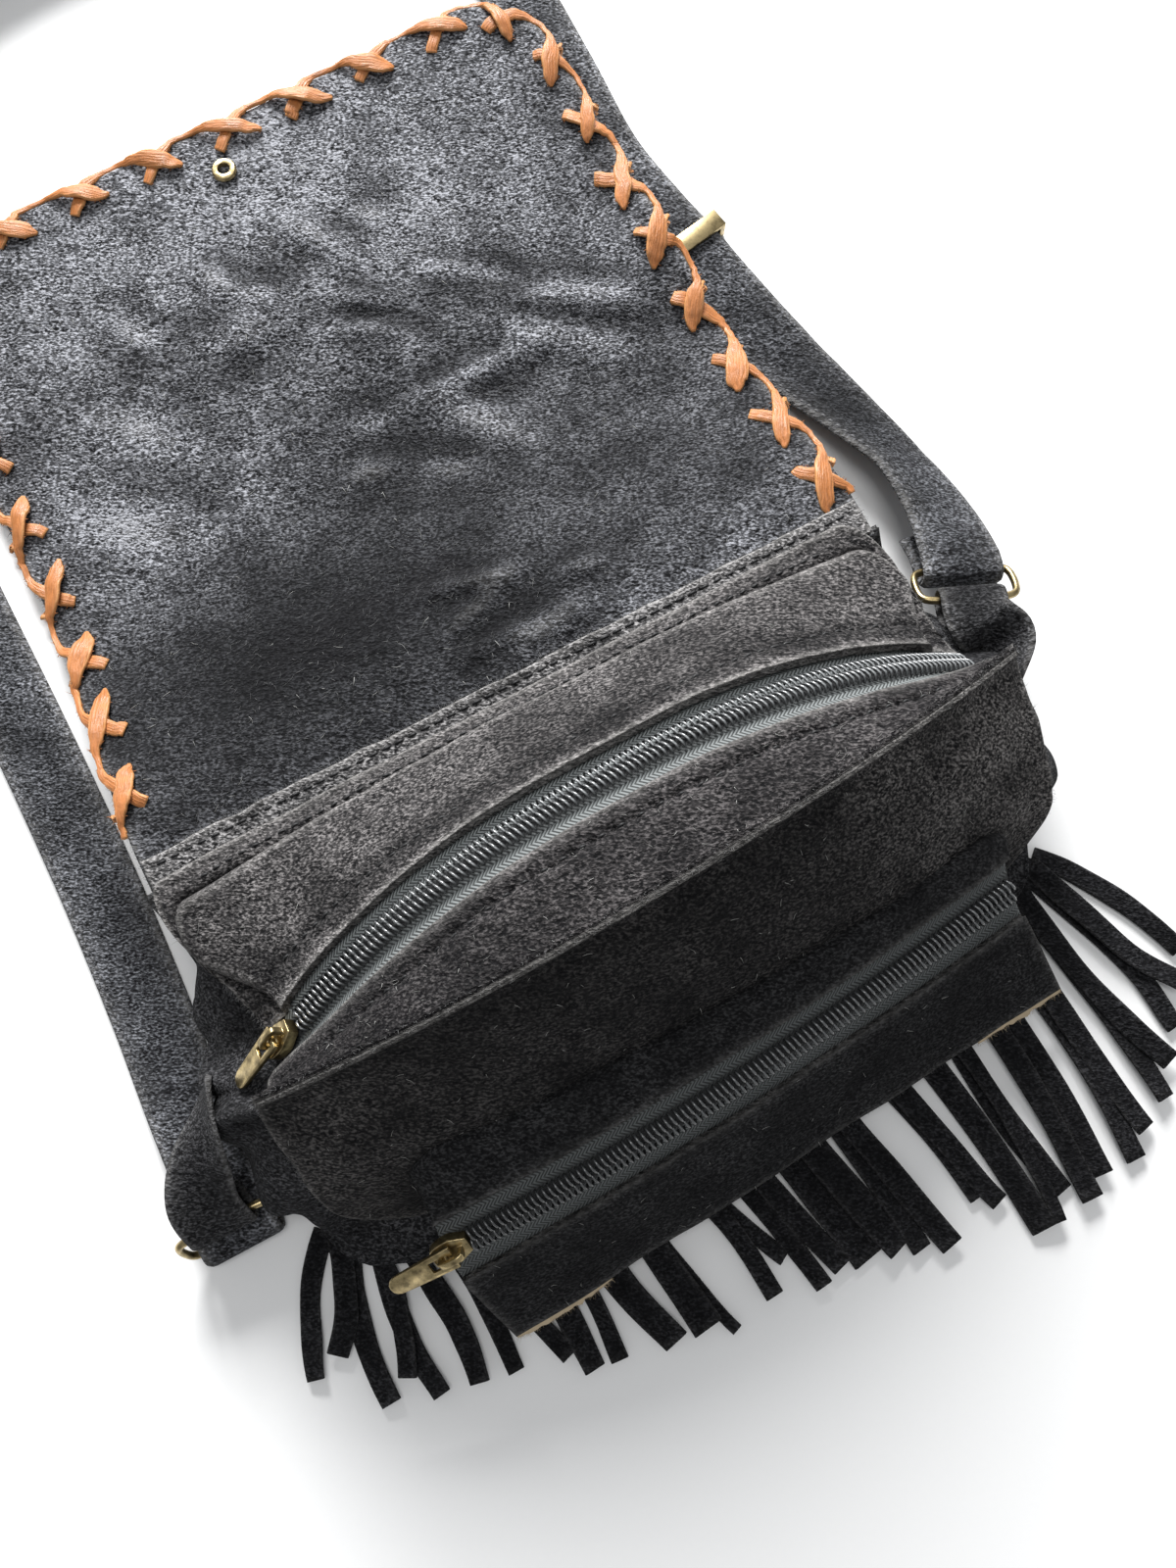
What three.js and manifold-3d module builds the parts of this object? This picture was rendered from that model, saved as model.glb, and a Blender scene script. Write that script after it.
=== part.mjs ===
// A black suede fringe crossbody bag lying on its back with its flap laid open.
// Millimetres, +Z up. X runs along the flap's hinge, Y from the hinge to the flap's free edge,
// and the origin is the middle of the flat face under the back panel.
import * as THREE from "three";
import { mergeVertices } from "three/addons/utils/BufferGeometryUtils.js";
import Module from "manifold-3d";

const wasm = await Module();
wasm.setup();

// Driving dimensions
const SUEDE = 1.6;
const GAP = 0.35;
const LACE_THICK = 1.2;
const TAPE_THICK = 0.8;
const STRAP_WIDTH = 22;
const STRAP_THICK = 2.4;
const WIRE = 2.6;
const ACROSS = 14;

// Each seam runs across the bag: its middle is at (y, z), its ends are half a width to each side,
// endY and endZ move the ends, skew moves the right end forward and the left end back.
const SEAMS = {
  hinge: { centre: -3, half: 110, y: 57, z: 33.8, skew: 1.5, endY: 0, endZ: 0, power: 2 },
  zip: { centre: 7, half: 101, y: 22, z: 66, skew: 3, endY: -17, endZ: -27, power: 2.4 },
  welt: { centre: 6.5, half: 108, y: -10, z: 78, skew: 6, endY: 9, endZ: -27, power: 2.2 },
  frontMiddle: { centre: 5, half: 107, y: -38, z: 51, skew: 1, endY: 8, endZ: -16, power: 2.2 },
  frontLow: { centre: 2, half: 104, y: -54, z: 16, skew: 2, endY: 12, endZ: -5, power: 3 },
  pocketZip: { centre: 5, half: 84, y: -56, z: 43, skew: 6, endY: 3, endZ: -8, power: 2 },
  pocketLow: { centre: 9, half: 85, y: -83, z: 13, skew: 5.5, endY: 0, endZ: -2, power: 2 },
};
const POCKET = { centre: 9, half: 82, seam: 0.5, across: 12 };

const BACK = { half: 110, cornerY: -34, bottom: 15, topY: 55, flatTo: 18, rise: 26, square: 4 };
const FLAP = {
  half: 107,
  rootY: 52,
  flat: 8,
  endY: 270,
  corner: 28,
  rootZ: 29,
  lowZ: 3.7,
  fallY: 152,
  ease: 1.35,
};
const HINGE_STRIP = { half: 106, fromY: 53, toY: 63 };

// The band and the front panel as shares of their surfaces, and the welt where both turn up side by side.
const BAND = { from: 0.005, to: 0.995, edge: 0.035, turn: 0.22, lean: 0.5 };
const FRONT = { edge: 0.955, turn: 0.88, lean: 0.1, lift: 1.2 };
const WELT_HIGH = 5.5;

// Soft dents pressed through the flap: middle, turn, half length, half width and height.
const FLAP_DENTS = [
  { x: -17, y: 210, turn: -50, long: 14, wide: 8, high: 2.4 },
  { x: 18, y: 175, turn: -30, long: 15, wide: 7, high: 2.2 },
  { x: 59, y: 160, turn: -41, long: 32, wide: 6, high: 2.6 },
  { x: 28, y: 145, turn: -54, long: 26, wide: 7, high: 2.2 },
  { x: 5, y: 87, turn: 20, long: 16, wide: 5, high: 2.0 },
  { x: 14, y: 70, turn: 15, long: 22, wide: 4.5, high: 1.8 },
];

// Where the strap and its slide lie under the flap's right edge and lift it.
const FLAP_LIFTS = [
  { x: 106, y: 205, wideX: 26, wideY: 95, high: 3.8 },
  { x: 108, y: 166, wideX: 20, wideY: 20, high: 4.2 },
];

// Zips: the coil, the open gap between the suede edges, and how far the tape reaches behind them.
const COIL = { width: 6.4, high: 2.6, round: 0.75 };
const ZIP = { gapBack: 4.6, gapFront: 8, gapEnd: 6.5, gapPower: 6, pocketGap: 8 };
const TAPE = { back: 12, front: 13, pocket: 13, most: 0.3, sunk: 1.0 };
const SLIDER = { mainAt: 0.022, mainHigh: 0.2, pocketAt: 0.012, pocketHigh: -1.4, long: 10, wide: 7.4, thick: 3 };
const BAIL = { half: 3.4, wire: 1.4, high: 3.9, wide: 1.6, foot: 0.6, spring: 0.6 };
const PULL = { long: 17, wide: 6.6, tip: 0.8, thick: 1.2, bar: 1.5, pivotHigh: 1.35 };
const PULL_WINDOW = { long: 5, wide: 3.2 };

const LACING = { rootY: 66, pitch: 24, strand: 2.4, clear: 1.4, out: 1.45, round: 12 };
const LACE_LEAF = { wide: 6.6, narrow: 0.45, from: 0.15, rate: 1.1 };

// One lace stitch from its tip on top, over the flap's edge, to its tip underneath:
// how far in from the edge, how far along it, and on which side of the flap.
const LACE_ROUTE = [
  { inward: 11.5, shift: 5, side: 1, lift: 0 },
  { inward: 7.1, shift: 2.5, side: 1, lift: 0.4 },
  { inward: 2.9, shift: 0.5, side: 1, lift: 0.2 },
  { inward: -0.3, shift: 0, side: 1, lift: 0 },
  { inward: -1.65, shift: 0, side: 0, lift: 0 },
  { inward: -0.3, shift: 0, side: -1, lift: 0 },
  { inward: 8, shift: -2, side: -1, lift: 0 },
];
const EYELET = { x: -2, y: 254, outer: 4, inner: 2, wall: 0.9, chamfer: 0.5, thick: 0.9 };

// The pocket's wall as shares of the pocket's and the front panel's surfaces.
const POCKET_WALL = { side: 0.36, inset: 0.016, low: 0.06, high: 0.62, foot: 0.02, climb: 0.336 };

// The gusset: its side share, its swelling and pleats, and where its two edges lie.
const GUSSET = { side: 0.37, overTop: 0.55, bulge: 7, pleat: 3, pleats: 5, slope: 4, tall: 40 };
const GUSSET_UPPER = { edge: 0.02, under: 4.8, topFrom: 0.84, topTo: 0.03, frontFrom: 0.95, frontTo: 0.05 };
const GUSSET_LOWER = { share: 0.975, topY: 42, inset: 2, lift: 0.4, underFront: [0, 0.6, -2] };

// Fringe strands, and how far their tips, bows and widths are scattered.
const FRINGE = { width: 6, thick: 1.5, heading: 7, floor: 0.3, layer: 1.9, rootOut: 1.015, rootBack: 0.6 };
const FRINGE_SCATTER = { tipX: 3, tipY: 5, bow: 5, width: 0.12, bowLift: 0.4, bowLayer: 0.6 };

// Rows: where on the lower edge the strands start, from -1 to 1, and where their tips lie.
const FRINGE_LEFT = [
  { along: -0.995, tipX: -129, tipY: -72 },
  { along: -0.9, tipX: -116, tipY: -90 },
  { along: -0.8, tipX: -92, tipY: -97 },
];
const FRINGE_BOTTOM = [
  { along: -0.78, tipX: -88, tipY: -98 },
  { along: -0.3, tipX: -34, tipY: -114 },
  { along: 0.2, tipX: 18, tipY: -119 },
  { along: 0.76, tipX: 80, tipY: -134 },
];
const FRINGE_RIGHT = [
  { along: 0.78, tipX: 88, tipY: -132 },
  { along: 0.9, tipX: 112, tipY: -112 },
  { along: 0.995, tipX: 138, tipY: -80 },
];

// The shoulder strap's route: middle of the strap, and the heading and tilt of its width.
const STRAP_ROUTE = [
  { x: -130, y: -12, z: 1.4, across: 0, tilt: 0 },
  { x: -130, y: -28, z: 1.4, across: 0, tilt: 0 },
  { x: -130, y: -35.2, z: 2.2, across: 0, tilt: 0 },
  { x: -130, y: -36.2, z: 4.4, across: 0, tilt: 0 },
  { x: -130, y: -35.2, z: 6.6, across: 0, tilt: 0 },
  { x: -130, y: -32, z: 7.6, across: 0, tilt: 0 },
  { x: -130, y: -22, z: 6.4, across: 0, tilt: 0 },
  { x: -130, y: -10, z: 4.4, across: 0, tilt: 0 },
  { x: -130, y: 6, z: 1.9, across: 0, tilt: 0 },
  { x: -128.5, y: 30, z: 1.4, across: 0, tilt: 0 },
  { x: -127, y: 70, z: 1.4, across: 0, tilt: 0 },
  { x: -127, y: 120, z: 1.4, across: 0, tilt: 0 },
  { x: -128, y: 170, z: 1.4, across: 0, tilt: 0 },
  { x: -128, y: 220, z: 1.4, across: 0, tilt: 0 },
  { x: -127, y: 256, z: 2.6, across: -4, tilt: 5 },
  { x: -121, y: 290, z: 6.2, across: -16, tilt: 24 },
  { x: -104, y: 322, z: 10.2, across: -35, tilt: 52 },
  { x: -68, y: 350, z: 11.9, across: -62, tilt: 74 },
  { x: -12, y: 361, z: 12.2, across: -90, tilt: 80 },
  { x: 44, y: 352, z: 11.9, across: -115, tilt: 74 },
  { x: 84, y: 326, z: 10.2, across: -145, tilt: 52 },
  { x: 102, y: 302, z: 6.2, across: -166, tilt: 24 },
  { x: 107, y: 278, z: 2, across: -178, tilt: 1 },
  { x: 107, y: 240, z: 1.6, across: -180, tilt: 0 },
  { x: 106, y: 206, z: 1.5, across: -182, tilt: 0 },
  { x: 109, y: 182, z: 2.7, across: -190, tilt: 0 },
  { x: 112, y: 166, z: 3.3, across: -192, tilt: 0 },
  { x: 115, y: 150, z: 2.7, across: -193, tilt: 0 },
  { x: 121, y: 122, z: 2.3, across: -195, tilt: 0 },
  { x: 124.5, y: 109, z: 3.6, across: -196, tilt: 6 },
  { x: 128, y: 96, z: 5.6, across: -198, tilt: 14 },
  { x: 133, y: 74, z: 9.5, across: -202, tilt: 26 },
  { x: 132, y: 54, z: 16.5, across: -204, tilt: 16 },
  { x: 127.2, y: 37.6, z: 23.3, across: -204, tilt: 0 },
  { x: 125.2, y: 32.8, z: 24.2, across: -204, tilt: 0 },
  { x: 124.4, y: 31.4, z: 21.9, across: -204, tilt: 0 },
  { x: 125.3, y: 33.2, z: 17.9, across: -204, tilt: 0 },
  { x: 128.5, y: 42, z: 13.6, across: -204, tilt: 0 },
  { x: 130, y: 49, z: 10.4, across: -204, tilt: 0 },
];

// The rings: middle, and the heading of the long bars and of the way from the strap's bar to the tab's.
const RING = { inside: 25, deep: 10, square: 0.4, radius: 10 };
const RING_LEFT = { middle: [-130, -30.35, 10.1], bars: [1, 0, 0], toTab: [0, 0.42, 0.907] };
const RING_RIGHT = { middle: [124, 30, 24], bars: [0.916, -0.4, 0], toTab: [-0.348, -0.795, 0.497] };

// The tabs that hold the rings: root beside the gusset, bend on the way to the ring, and the root's width.
const TAB = { width: 18, bar: 2.95, lead: 9, tail: 7, turns: 4 };
const TAB_LEFT = { root: [-113.8, 6, 29], bend: [-122.5, -8, 28], rootAcross: [0.3, 0, 0.95] };
const TAB_RIGHT = { root: [120.2, 0, 29], bend: [122, 11.5, 31], rootAcross: [0.3, 0, 0.95] };
const SLIDE = { x: 112, y: 166, z: 3.3, heading: 10.6, inside: 23.2, gap: 3.5, bar: 1.3, side: 2, long: 6 };

const SUEDE_BLACK = { color: 0x2a2a2c, roughness: 0.95, metalness: 0 };
const SUEDE_DARK = { color: 0x1d1c1d, roughness: 0.95, metalness: 0 };
const LACE_TAN = { color: 0xb5622c, roughness: 0.55, metalness: 0 };
const BRASS = { color: 0xb08d45, roughness: 0.35, metalness: 1 };
const TAPE_GREY = { color: 0x33393b, roughness: 0.85, metalness: 0 };
const COIL_BLACK = { color: 0x121315, roughness: 0.3, metalness: 0 };

const bag = new THREE.Group();
const UP = new THREE.Vector3(0, 0, 1);

function vec(x, y, z) {
  return new THREE.Vector3(x, y, z);
}

function addPiece(name, geometry, finish, parent = bag) {
  const mesh = new THREE.Mesh(geometry, new THREE.MeshStandardMaterial(finish));
  mesh.name = name;
  parent.add(mesh);
  return mesh;
}

// Moves every vertex of a geometry to where place(point) puts it.
function deform(geometry, place) {
  const position = geometry.getAttribute("position");
  const point = new THREE.Vector3();
  for (let i = 0; i < position.count; i++) {
    point.fromBufferAttribute(position, i);
    const moved = place(point);
    position.setXYZ(i, moved.x, moved.y, moved.z);
  }
  return geometry;
}

// The unit normal of a surface given as a function of two parameters from 0 to 1.
function normalAt(surface, u, v) {
  const step = 0.004;
  const u0 = Math.max(0, u - step);
  const u1 = Math.min(1, u + step);
  const v0 = Math.max(0, v - step);
  const v1 = Math.min(1, v + step);
  const alongU = surface(u1, v).sub(surface(u0, v));
  const alongV = surface(u, v1).sub(surface(u, v0));
  return alongU.cross(alongV).normalize();
}

function offsetSurface(surface, distance) {
  return (u, v) => surface(u, v).addScaledVector(normalAt(surface, u, v), distance);
}

// A part of a surface, from (u0, v0) to (u1, v1), where the limits of v may change along u.
function patch(surface, u0, u1, v0, v1) {
  const low = typeof v0 === "function" ? v0 : () => v0;
  const high = typeof v1 === "function" ? v1 : () => v1;
  return (u, v) => {
    const across = THREE.MathUtils.lerp(u0, u1, u);
    return surface(across, THREE.MathUtils.lerp(low(across), high(across), v));
  };
}

// A unit slab of cells whose under face is split along the same diagonals as its upper face,
// so that it keeps its thickness when it is bent and twisted.
function slab(cellsU, cellsV) {
  const block = new THREE.BoxGeometry(1, 1, 1, cellsU, cellsV, 1);
  const under = block.groups[block.groups.length - 1];
  const index = block.index.array;
  for (let i = under.start; i < under.start + under.count; i += 6) {
    const [a, b, , , c, d] = index.slice(i, i + 6);
    index.set([a, b, c, a, c, d], i);
  }
  return block;
}

// A closed wall of even thickness on a surface, with the given number of cells each way.
function wall(surface, cellsU, cellsV, thickness) {
  const block = slab(cellsU, cellsV);
  return deform(block, (p) => {
    const u = p.x + 0.5;
    const v = p.y + 0.5;
    return surface(u, v).addScaledVector(normalAt(surface, u, v), p.z * thickness);
  });
}

// A closed strip along a curve, whose section is width by thickness.
function strip(cells, pointAt, acrossAt, widthAt, thickness) {
  const block = slab(cells, 1);
  return deform(block, (p) => {
    const t = p.x + 0.5;
    const step = 0.5 / cells;
    const from = pointAt(Math.max(0, t - step));
    const heading = pointAt(Math.min(1, t + step)).sub(from).normalize();
    const across = acrossAt(t);
    across.addScaledVector(heading, -across.dot(heading)).normalize();
    const normal = heading.clone().cross(across);
    return pointAt(t)
      .addScaledVector(across, p.y * widthAt(t))
      .addScaledVector(normal, p.z * thickness);
  });
}

function solidOf(geometry) {
  const bare = geometry.clone();
  bare.deleteAttribute("normal");
  bare.deleteAttribute("uv");
  const merged = mergeVertices(bare, 1e-3);
  return new wasm.Manifold(
    new wasm.Mesh({
      numProp: 3,
      vertProperties: new Float32Array(merged.getAttribute("position").array),
      triVerts: new Uint32Array(merged.index.array),
    }),
  );
}

function geometryOf(solid) {
  const mesh = solid.getMesh();
  const geometry = new THREE.BufferGeometry();
  geometry.setAttribute("position", new THREE.BufferAttribute(mesh.vertProperties, 3));
  geometry.setIndex(new THREE.BufferAttribute(mesh.triVerts, 1));
  return geometry;
}

function joined(geometries) {
  const solids = geometries.map(solidOf);
  return geometryOf(solids.reduce((sum, solid) => sum.add(solid)));
}

function smoothFall(t) {
  const k = THREE.MathUtils.clamp(t, 0, 1);
  return 1 - k * k * (3 - 2 * k);
}

// A repeatable number from -1 to 1 for the nth piece.
const SCATTER = { step: 12.9898, salt: 78.233, scale: 43758.5453 };
function scatter(n, salt) {
  const wave = Math.sin(n * SCATTER.step + salt * SCATTER.salt) * SCATTER.scale;
  return 2 * (wave - Math.floor(wave)) - 1;
}

function seamPoint(seam, u) {
  const s = 2 * u - 1;
  const bend = Math.abs(s) ** seam.power;
  return vec(
    seam.centre + seam.half * s,
    seam.y + seam.skew * s + seam.endY * bend,
    seam.z + seam.endZ * bend,
  );
}

// A surface through three rows, each a function of u.
function throughRows(first, middle, last) {
  return (u, v) => new THREE.CatmullRomCurve3([first(u), middle(u), last(u)]).getPoint(v);
}

const seamRow = (name) => (u) => seamPoint(SEAMS[name], u);
const topSurface = throughRows(seamRow("welt"), seamRow("zip"), seamRow("hinge"));
const frontSurface = throughRows(seamRow("frontLow"), seamRow("frontMiddle"), seamRow("welt"));

function frontAcross(x) {
  return (x - SEAMS.frontMiddle.centre) / (2 * SEAMS.frontMiddle.half) + 0.5;
}

const frontOutside = offsetSurface(frontSurface, SUEDE + GAP);
function pocketTopRow(u) {
  const x = POCKET.centre + POCKET.half * (2 * u - 1);
  return frontOutside(frontAcross(x), POCKET.seam);
}
const pocketSurface = throughRows(seamRow("pocketLow"), seamRow("pocketZip"), pocketTopRow);

// The share of a surface's v that a distance takes up beside the zip, whose row is at v = 0.5.
function shareBeside(surface, distance, side) {
  return (u) => (0.5 * distance) / surface(u, 0.5).distanceTo(surface(u, 0.5 + 0.5 * side));
}

// Back panel

function backBottomY(s) {
  const reach = Math.max(0, 1 - Math.abs(s) ** BACK.square) ** (1 / BACK.square);
  return BACK.cornerY - BACK.bottom * reach;
}

function backZ(y) {
  const climb = Math.max(0, (y - BACK.flatTo) / (BACK.topY - BACK.flatTo));
  return SUEDE / 2 + BACK.rise * climb * climb;
}

function backSurface(u, v) {
  const s = -Math.cos(Math.PI * u);
  const y = THREE.MathUtils.lerp(backBottomY(s), BACK.topY, v);
  return vec(BACK.half * s, y, backZ(y));
}

addPiece("back_panel", wall(backSurface, 12, 7, SUEDE), SUEDE_BLACK);

// Flap, with its dents, its lift over the strap and its eyelet hole

function flapHalf(y) {
  const into = Math.max(0, y - (FLAP.endY - FLAP.corner));
  return FLAP.half - FLAP.corner + Math.sqrt(Math.max(0, FLAP.corner ** 2 - into ** 2));
}

function dentHeight(dent, x, y) {
  const turn = THREE.MathUtils.degToRad(dent.turn);
  const dx = x - dent.x;
  const dy = y - dent.y;
  const along = (dx * Math.cos(turn) + dy * Math.sin(turn)) / dent.long;
  const aside = (dy * Math.cos(turn) - dx * Math.sin(turn)) / dent.wide;
  return dent.high * Math.exp(-along * along - aside * aside);
}

function liftHeight(lift, x, y) {
  return lift.high * Math.exp(-(((x - lift.x) / lift.wideX) ** 2) - ((y - lift.y) / lift.wideY) ** 4);
}

function flapZ(x, y) {
  const start = FLAP.rootY + FLAP.flat;
  const fall = smoothFall((y - start) / (FLAP.fallY - start));
  let z = FLAP.lowZ + (FLAP.rootZ - FLAP.lowZ) * fall;
  for (const dent of FLAP_DENTS) z += dentHeight(dent, x, y);
  for (const lift of FLAP_LIFTS) z += liftHeight(lift, x, y) * (1 - fall);
  return z;
}

function flapPoint(x, y) {
  return vec(x, y, flapZ(x, y));
}

function flapSurface(u, v) {
  const ease = 1 - (1 - v) ** FLAP.ease;
  const y = THREE.MathUtils.lerp(FLAP.rootY, FLAP.endY, ease);
  return flapPoint(flapHalf(y) * (2 * u - 1), y);
}

function standingCylinder(radius, height, x, y, z, sides) {
  const cylinder = new THREE.CylinderGeometry(radius, radius, height, sides);
  return cylinder.rotateX(Math.PI / 2).translate(x, y, z);
}

const eyeletZ = flapZ(EYELET.x, EYELET.y);
const eyeletNeck = EYELET.inner + EYELET.wall;
const eyeletHole = standingCylinder(eyeletNeck + GAP, 8 * SUEDE, EYELET.x, EYELET.y, eyeletZ, 12);
const flapSheet = solidOf(wall(flapSurface, 12, 14, SUEDE));
addPiece("flap", geometryOf(flapSheet.subtract(solidOf(eyeletHole))), SUEDE_BLACK);

const eyeletSeat = SUEDE / 2 + GAP;
const eyeletFace = eyeletSeat + EYELET.thick;
const eyeletProfile = [
  [EYELET.inner, -eyeletFace],
  [EYELET.outer, -eyeletFace],
  [EYELET.outer, -eyeletSeat],
  [eyeletNeck, -eyeletSeat],
  [eyeletNeck, eyeletSeat],
  [EYELET.outer, eyeletSeat],
  [EYELET.outer - EYELET.chamfer, eyeletFace],
  [EYELET.inner, eyeletFace],
  [EYELET.inner, -eyeletFace],
].map(([radius, height]) => new THREE.Vector2(radius, height));
const eyelet = new THREE.LatheGeometry(eyeletProfile, 12).rotateX(Math.PI / 2);
eyelet.translate(EYELET.x, EYELET.y, eyeletZ);
addPiece("flap_eyelet", eyelet, BRASS);

// Lacing over the flap's edges

const cornerStart = FLAP.endY - FLAP.corner;
const cornerX = FLAP.half - FLAP.corner;
const flapEdge = new THREE.Path();
flapEdge.moveTo(-FLAP.half, LACING.rootY);
flapEdge.lineTo(-FLAP.half, cornerStart);
flapEdge.absarc(-cornerX, cornerStart, FLAP.corner, Math.PI, Math.PI / 2, true);
flapEdge.lineTo(cornerX, FLAP.endY);
flapEdge.absarc(cornerX, cornerStart, FLAP.corner, Math.PI / 2, 0, true);
flapEdge.lineTo(FLAP.half, LACING.rootY);
const edgeLength = flapEdge.getLength();

function edgeFrame(distance) {
  const t = THREE.MathUtils.clamp(distance / edgeLength, 0.0005, 0.9995);
  const place = flapEdge.getPointAt(t);
  const heading = flapEdge.getTangentAt(t);
  return {
    point: vec(place.x, place.y, 0),
    along: vec(heading.x, heading.y, 0),
    inward: vec(heading.y, -heading.x, 0),
  };
}

// A point beside the edge: so far inward, so far along it, and so far above the flap's middle.
function besideEdge(distance, inward, high) {
  const frame = edgeFrame(distance);
  const place = frame.point.clone().addScaledVector(frame.inward, inward);
  const seat = frame.point.clone().addScaledVector(frame.inward, Math.max(inward, 0));
  const step = 1;
  const slopeX = (flapZ(seat.x + step, seat.y) - flapZ(seat.x - step, seat.y)) / (2 * step);
  const slopeY = (flapZ(seat.x, seat.y + step) - flapZ(seat.x, seat.y - step)) / (2 * step);
  const normal = vec(-slopeX, -slopeY, 1).normalize();
  return vec(place.x, place.y, flapZ(seat.x, seat.y)).addScaledVector(normal, high);
}

const LACE_TOP = SUEDE / 2 + LACING.clear + LACE_THICK / 2;

// One stitch: a leaf on top that slants to its hole, wrapped over the edge to a tongue underneath.
function laceStitch(distance) {
  const points = LACE_ROUTE.map((row) =>
    besideEdge(distance + row.shift, row.inward, row.side * LACE_TOP + row.lift),
  );
  const curve = new THREE.CatmullRomCurve3(points, false, "centripetal");
  const along = edgeFrame(distance).along;
  const leafAt = (t) => {
    const swell = Math.sin(Math.PI * Math.min(1, LACE_LEAF.from + LACE_LEAF.rate * t)) ** 2;
    return LACE_LEAF.wide * THREE.MathUtils.lerp(LACE_LEAF.narrow, 1, swell);
  };
  return strip(LACE_ROUTE.length - 1, (t) => curve.getPoint(t), () => along.clone(), leafAt, LACE_THICK);
}

function laceRun(from, to) {
  const count = Math.max(2, Math.round((to - from) / LACING.pitch));
  const strandAt = (t) => besideEdge(THREE.MathUtils.lerp(from, to, t), -LACING.out, 0);
  const pieces = [strip(2 * count, strandAt, () => UP.clone(), () => LACING.strand, LACE_THICK)];
  for (let i = 0; i < count; i++) {
    pieces.push(laceStitch(from + ((i + 0.5) * (to - from)) / count));
  }
  return joined(pieces);
}

const sideRun = cornerStart - LACING.rootY + LACING.round;
addPiece("lacing_left", laceRun(0.5, sideRun), LACE_TAN);
addPiece("lacing_end", laceRun(sideRun + 1, edgeLength - sideRun - 1), LACE_TAN);
addPiece("lacing_right", laceRun(edgeLength - sideRun, edgeLength - 0.5), LACE_TAN);

// Strip that covers the flap's root along the hinge

function hingeStripSurface(u, v) {
  const x = THREE.MathUtils.lerp(-HINGE_STRIP.half, HINGE_STRIP.half, u);
  const y = THREE.MathUtils.lerp(HINGE_STRIP.fromY, HINGE_STRIP.toY, v);
  return flapPoint(x, y).add(vec(0, 0, SUEDE + 2 * GAP));
}
addPiece("hinge_strip", wall(hingeStripSurface, 10, 1, SUEDE), SUEDE_BLACK);

// Top band: a suede strip to each side of the main zip, the front one turned up into the welt

const zipGap = (middle, u) => THREE.MathUtils.lerp(middle, ZIP.gapEnd, Math.abs(2 * u - 1) ** ZIP.gapPower);
const bandBackLow = (u) => 0.5 + shareBeside(topSurface, zipGap(ZIP.gapBack, u), 1)(u);
const bandBackSurface = patch(topSurface, BAND.from, BAND.to, bandBackLow, 1);
addPiece("band_back", wall(bandBackSurface, ACROSS, 4, SUEDE), SUEDE_BLACK);

function bandFrontSurface(u, v) {
  const across = THREE.MathUtils.lerp(BAND.from, BAND.to, u);
  const edge = topSurface(across, BAND.edge);
  if (v < BAND.turn) return edge.add(vec(0, BAND.lean, WELT_HIGH * (1 - v / BAND.turn)));
  const high = 0.5 - shareBeside(topSurface, zipGap(ZIP.gapFront, across), -1)(across);
  return topSurface(across, THREE.MathUtils.lerp(BAND.edge, high, (v - BAND.turn) / (1 - BAND.turn)));
}
addPiece("band_front", wall(bandFrontSurface, ACROSS, 6, SUEDE), SUEDE_BLACK);

// Front panel, its top edge turned up beside the band's into the welt

function frontPanelSurface(u, v) {
  const across = THREE.MathUtils.lerp(BAND.from, BAND.to, u);
  if (v <= FRONT.turn) return frontSurface(across, THREE.MathUtils.lerp(0, FRONT.edge, v / FRONT.turn));
  const high = (WELT_HIGH * (v - FRONT.turn)) / (1 - FRONT.turn) + FRONT.lift;
  return frontSurface(across, FRONT.edge).add(vec(0, FRONT.lean, high));
}
addPiece("front_panel", wall(frontPanelSurface, ACROSS, 8, SUEDE), SUEDE_DARK);

// Zips: a tape, a coil, a slider with a bail and a pull on it

function zipTape(surface, u0, u1, halfBack, halfFront, cells) {
  const back = (u) => 0.5 + Math.min(TAPE.most, shareBeside(surface, halfBack, 1)(u));
  const front = (u) => 0.5 - Math.min(TAPE.most, shareBeside(surface, halfFront, -1)(u));
  const sunk = offsetSurface(surface, -(SUEDE + TAPE_THICK) / 2 - TAPE.sunk);
  const tape = (u, v) => {
    const across = THREE.MathUtils.lerp(u0, u1, u);
    const edge = v < 0.5 ? front(across) : back(across);
    return sunk(across, THREE.MathUtils.lerp(0.5, edge, Math.abs(2 * v - 1)));
  };
  return wall(tape, cells, 4, TAPE_THICK);
}

function zipCoil(surface, u0, u1, cells) {
  const block = new THREE.BoxGeometry(1, 1, 1, cells, 3, 1);
  return deform(block, (p) => {
    const u = THREE.MathUtils.lerp(u0, u1, p.x + 0.5);
    const aside = 2 * p.y;
    const row = surface(u, 0.5);
    const across = surface(u, 0.53).sub(surface(u, 0.47)).normalize();
    const normal = normalAt(surface, u, 0.5);
    const seat = -SUEDE / 2;
    const dome = COIL.high * Math.sqrt(Math.max(0, 1 - COIL.round * aside * aside));
    const high = p.z > 0 ? seat + dome : seat;
    return row.addScaledVector(across, p.y * COIL.width).addScaledVector(normal, high);
  });
}

function sliderShape() {
  const shape = new THREE.Shape();
  const half = SLIDER.wide / 2;
  shape.moveTo(-SLIDER.long / 2, -0.55 * half);
  shape.lineTo(-0.1 * SLIDER.long, -half);
  shape.quadraticCurveTo(0.45 * SLIDER.long, -half, 0.5 * SLIDER.long, -0.5 * half);
  shape.lineTo(0.5 * SLIDER.long, 0.5 * half);
  shape.quadraticCurveTo(0.45 * SLIDER.long, half, -0.1 * SLIDER.long, half);
  shape.lineTo(-SLIDER.long / 2, 0.55 * half);
  return shape;
}

function plate(shape, depth) {
  return new THREE.ExtrudeGeometry(shape, { depth, bevelEnabled: false, curveSegments: 4 });
}

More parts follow.
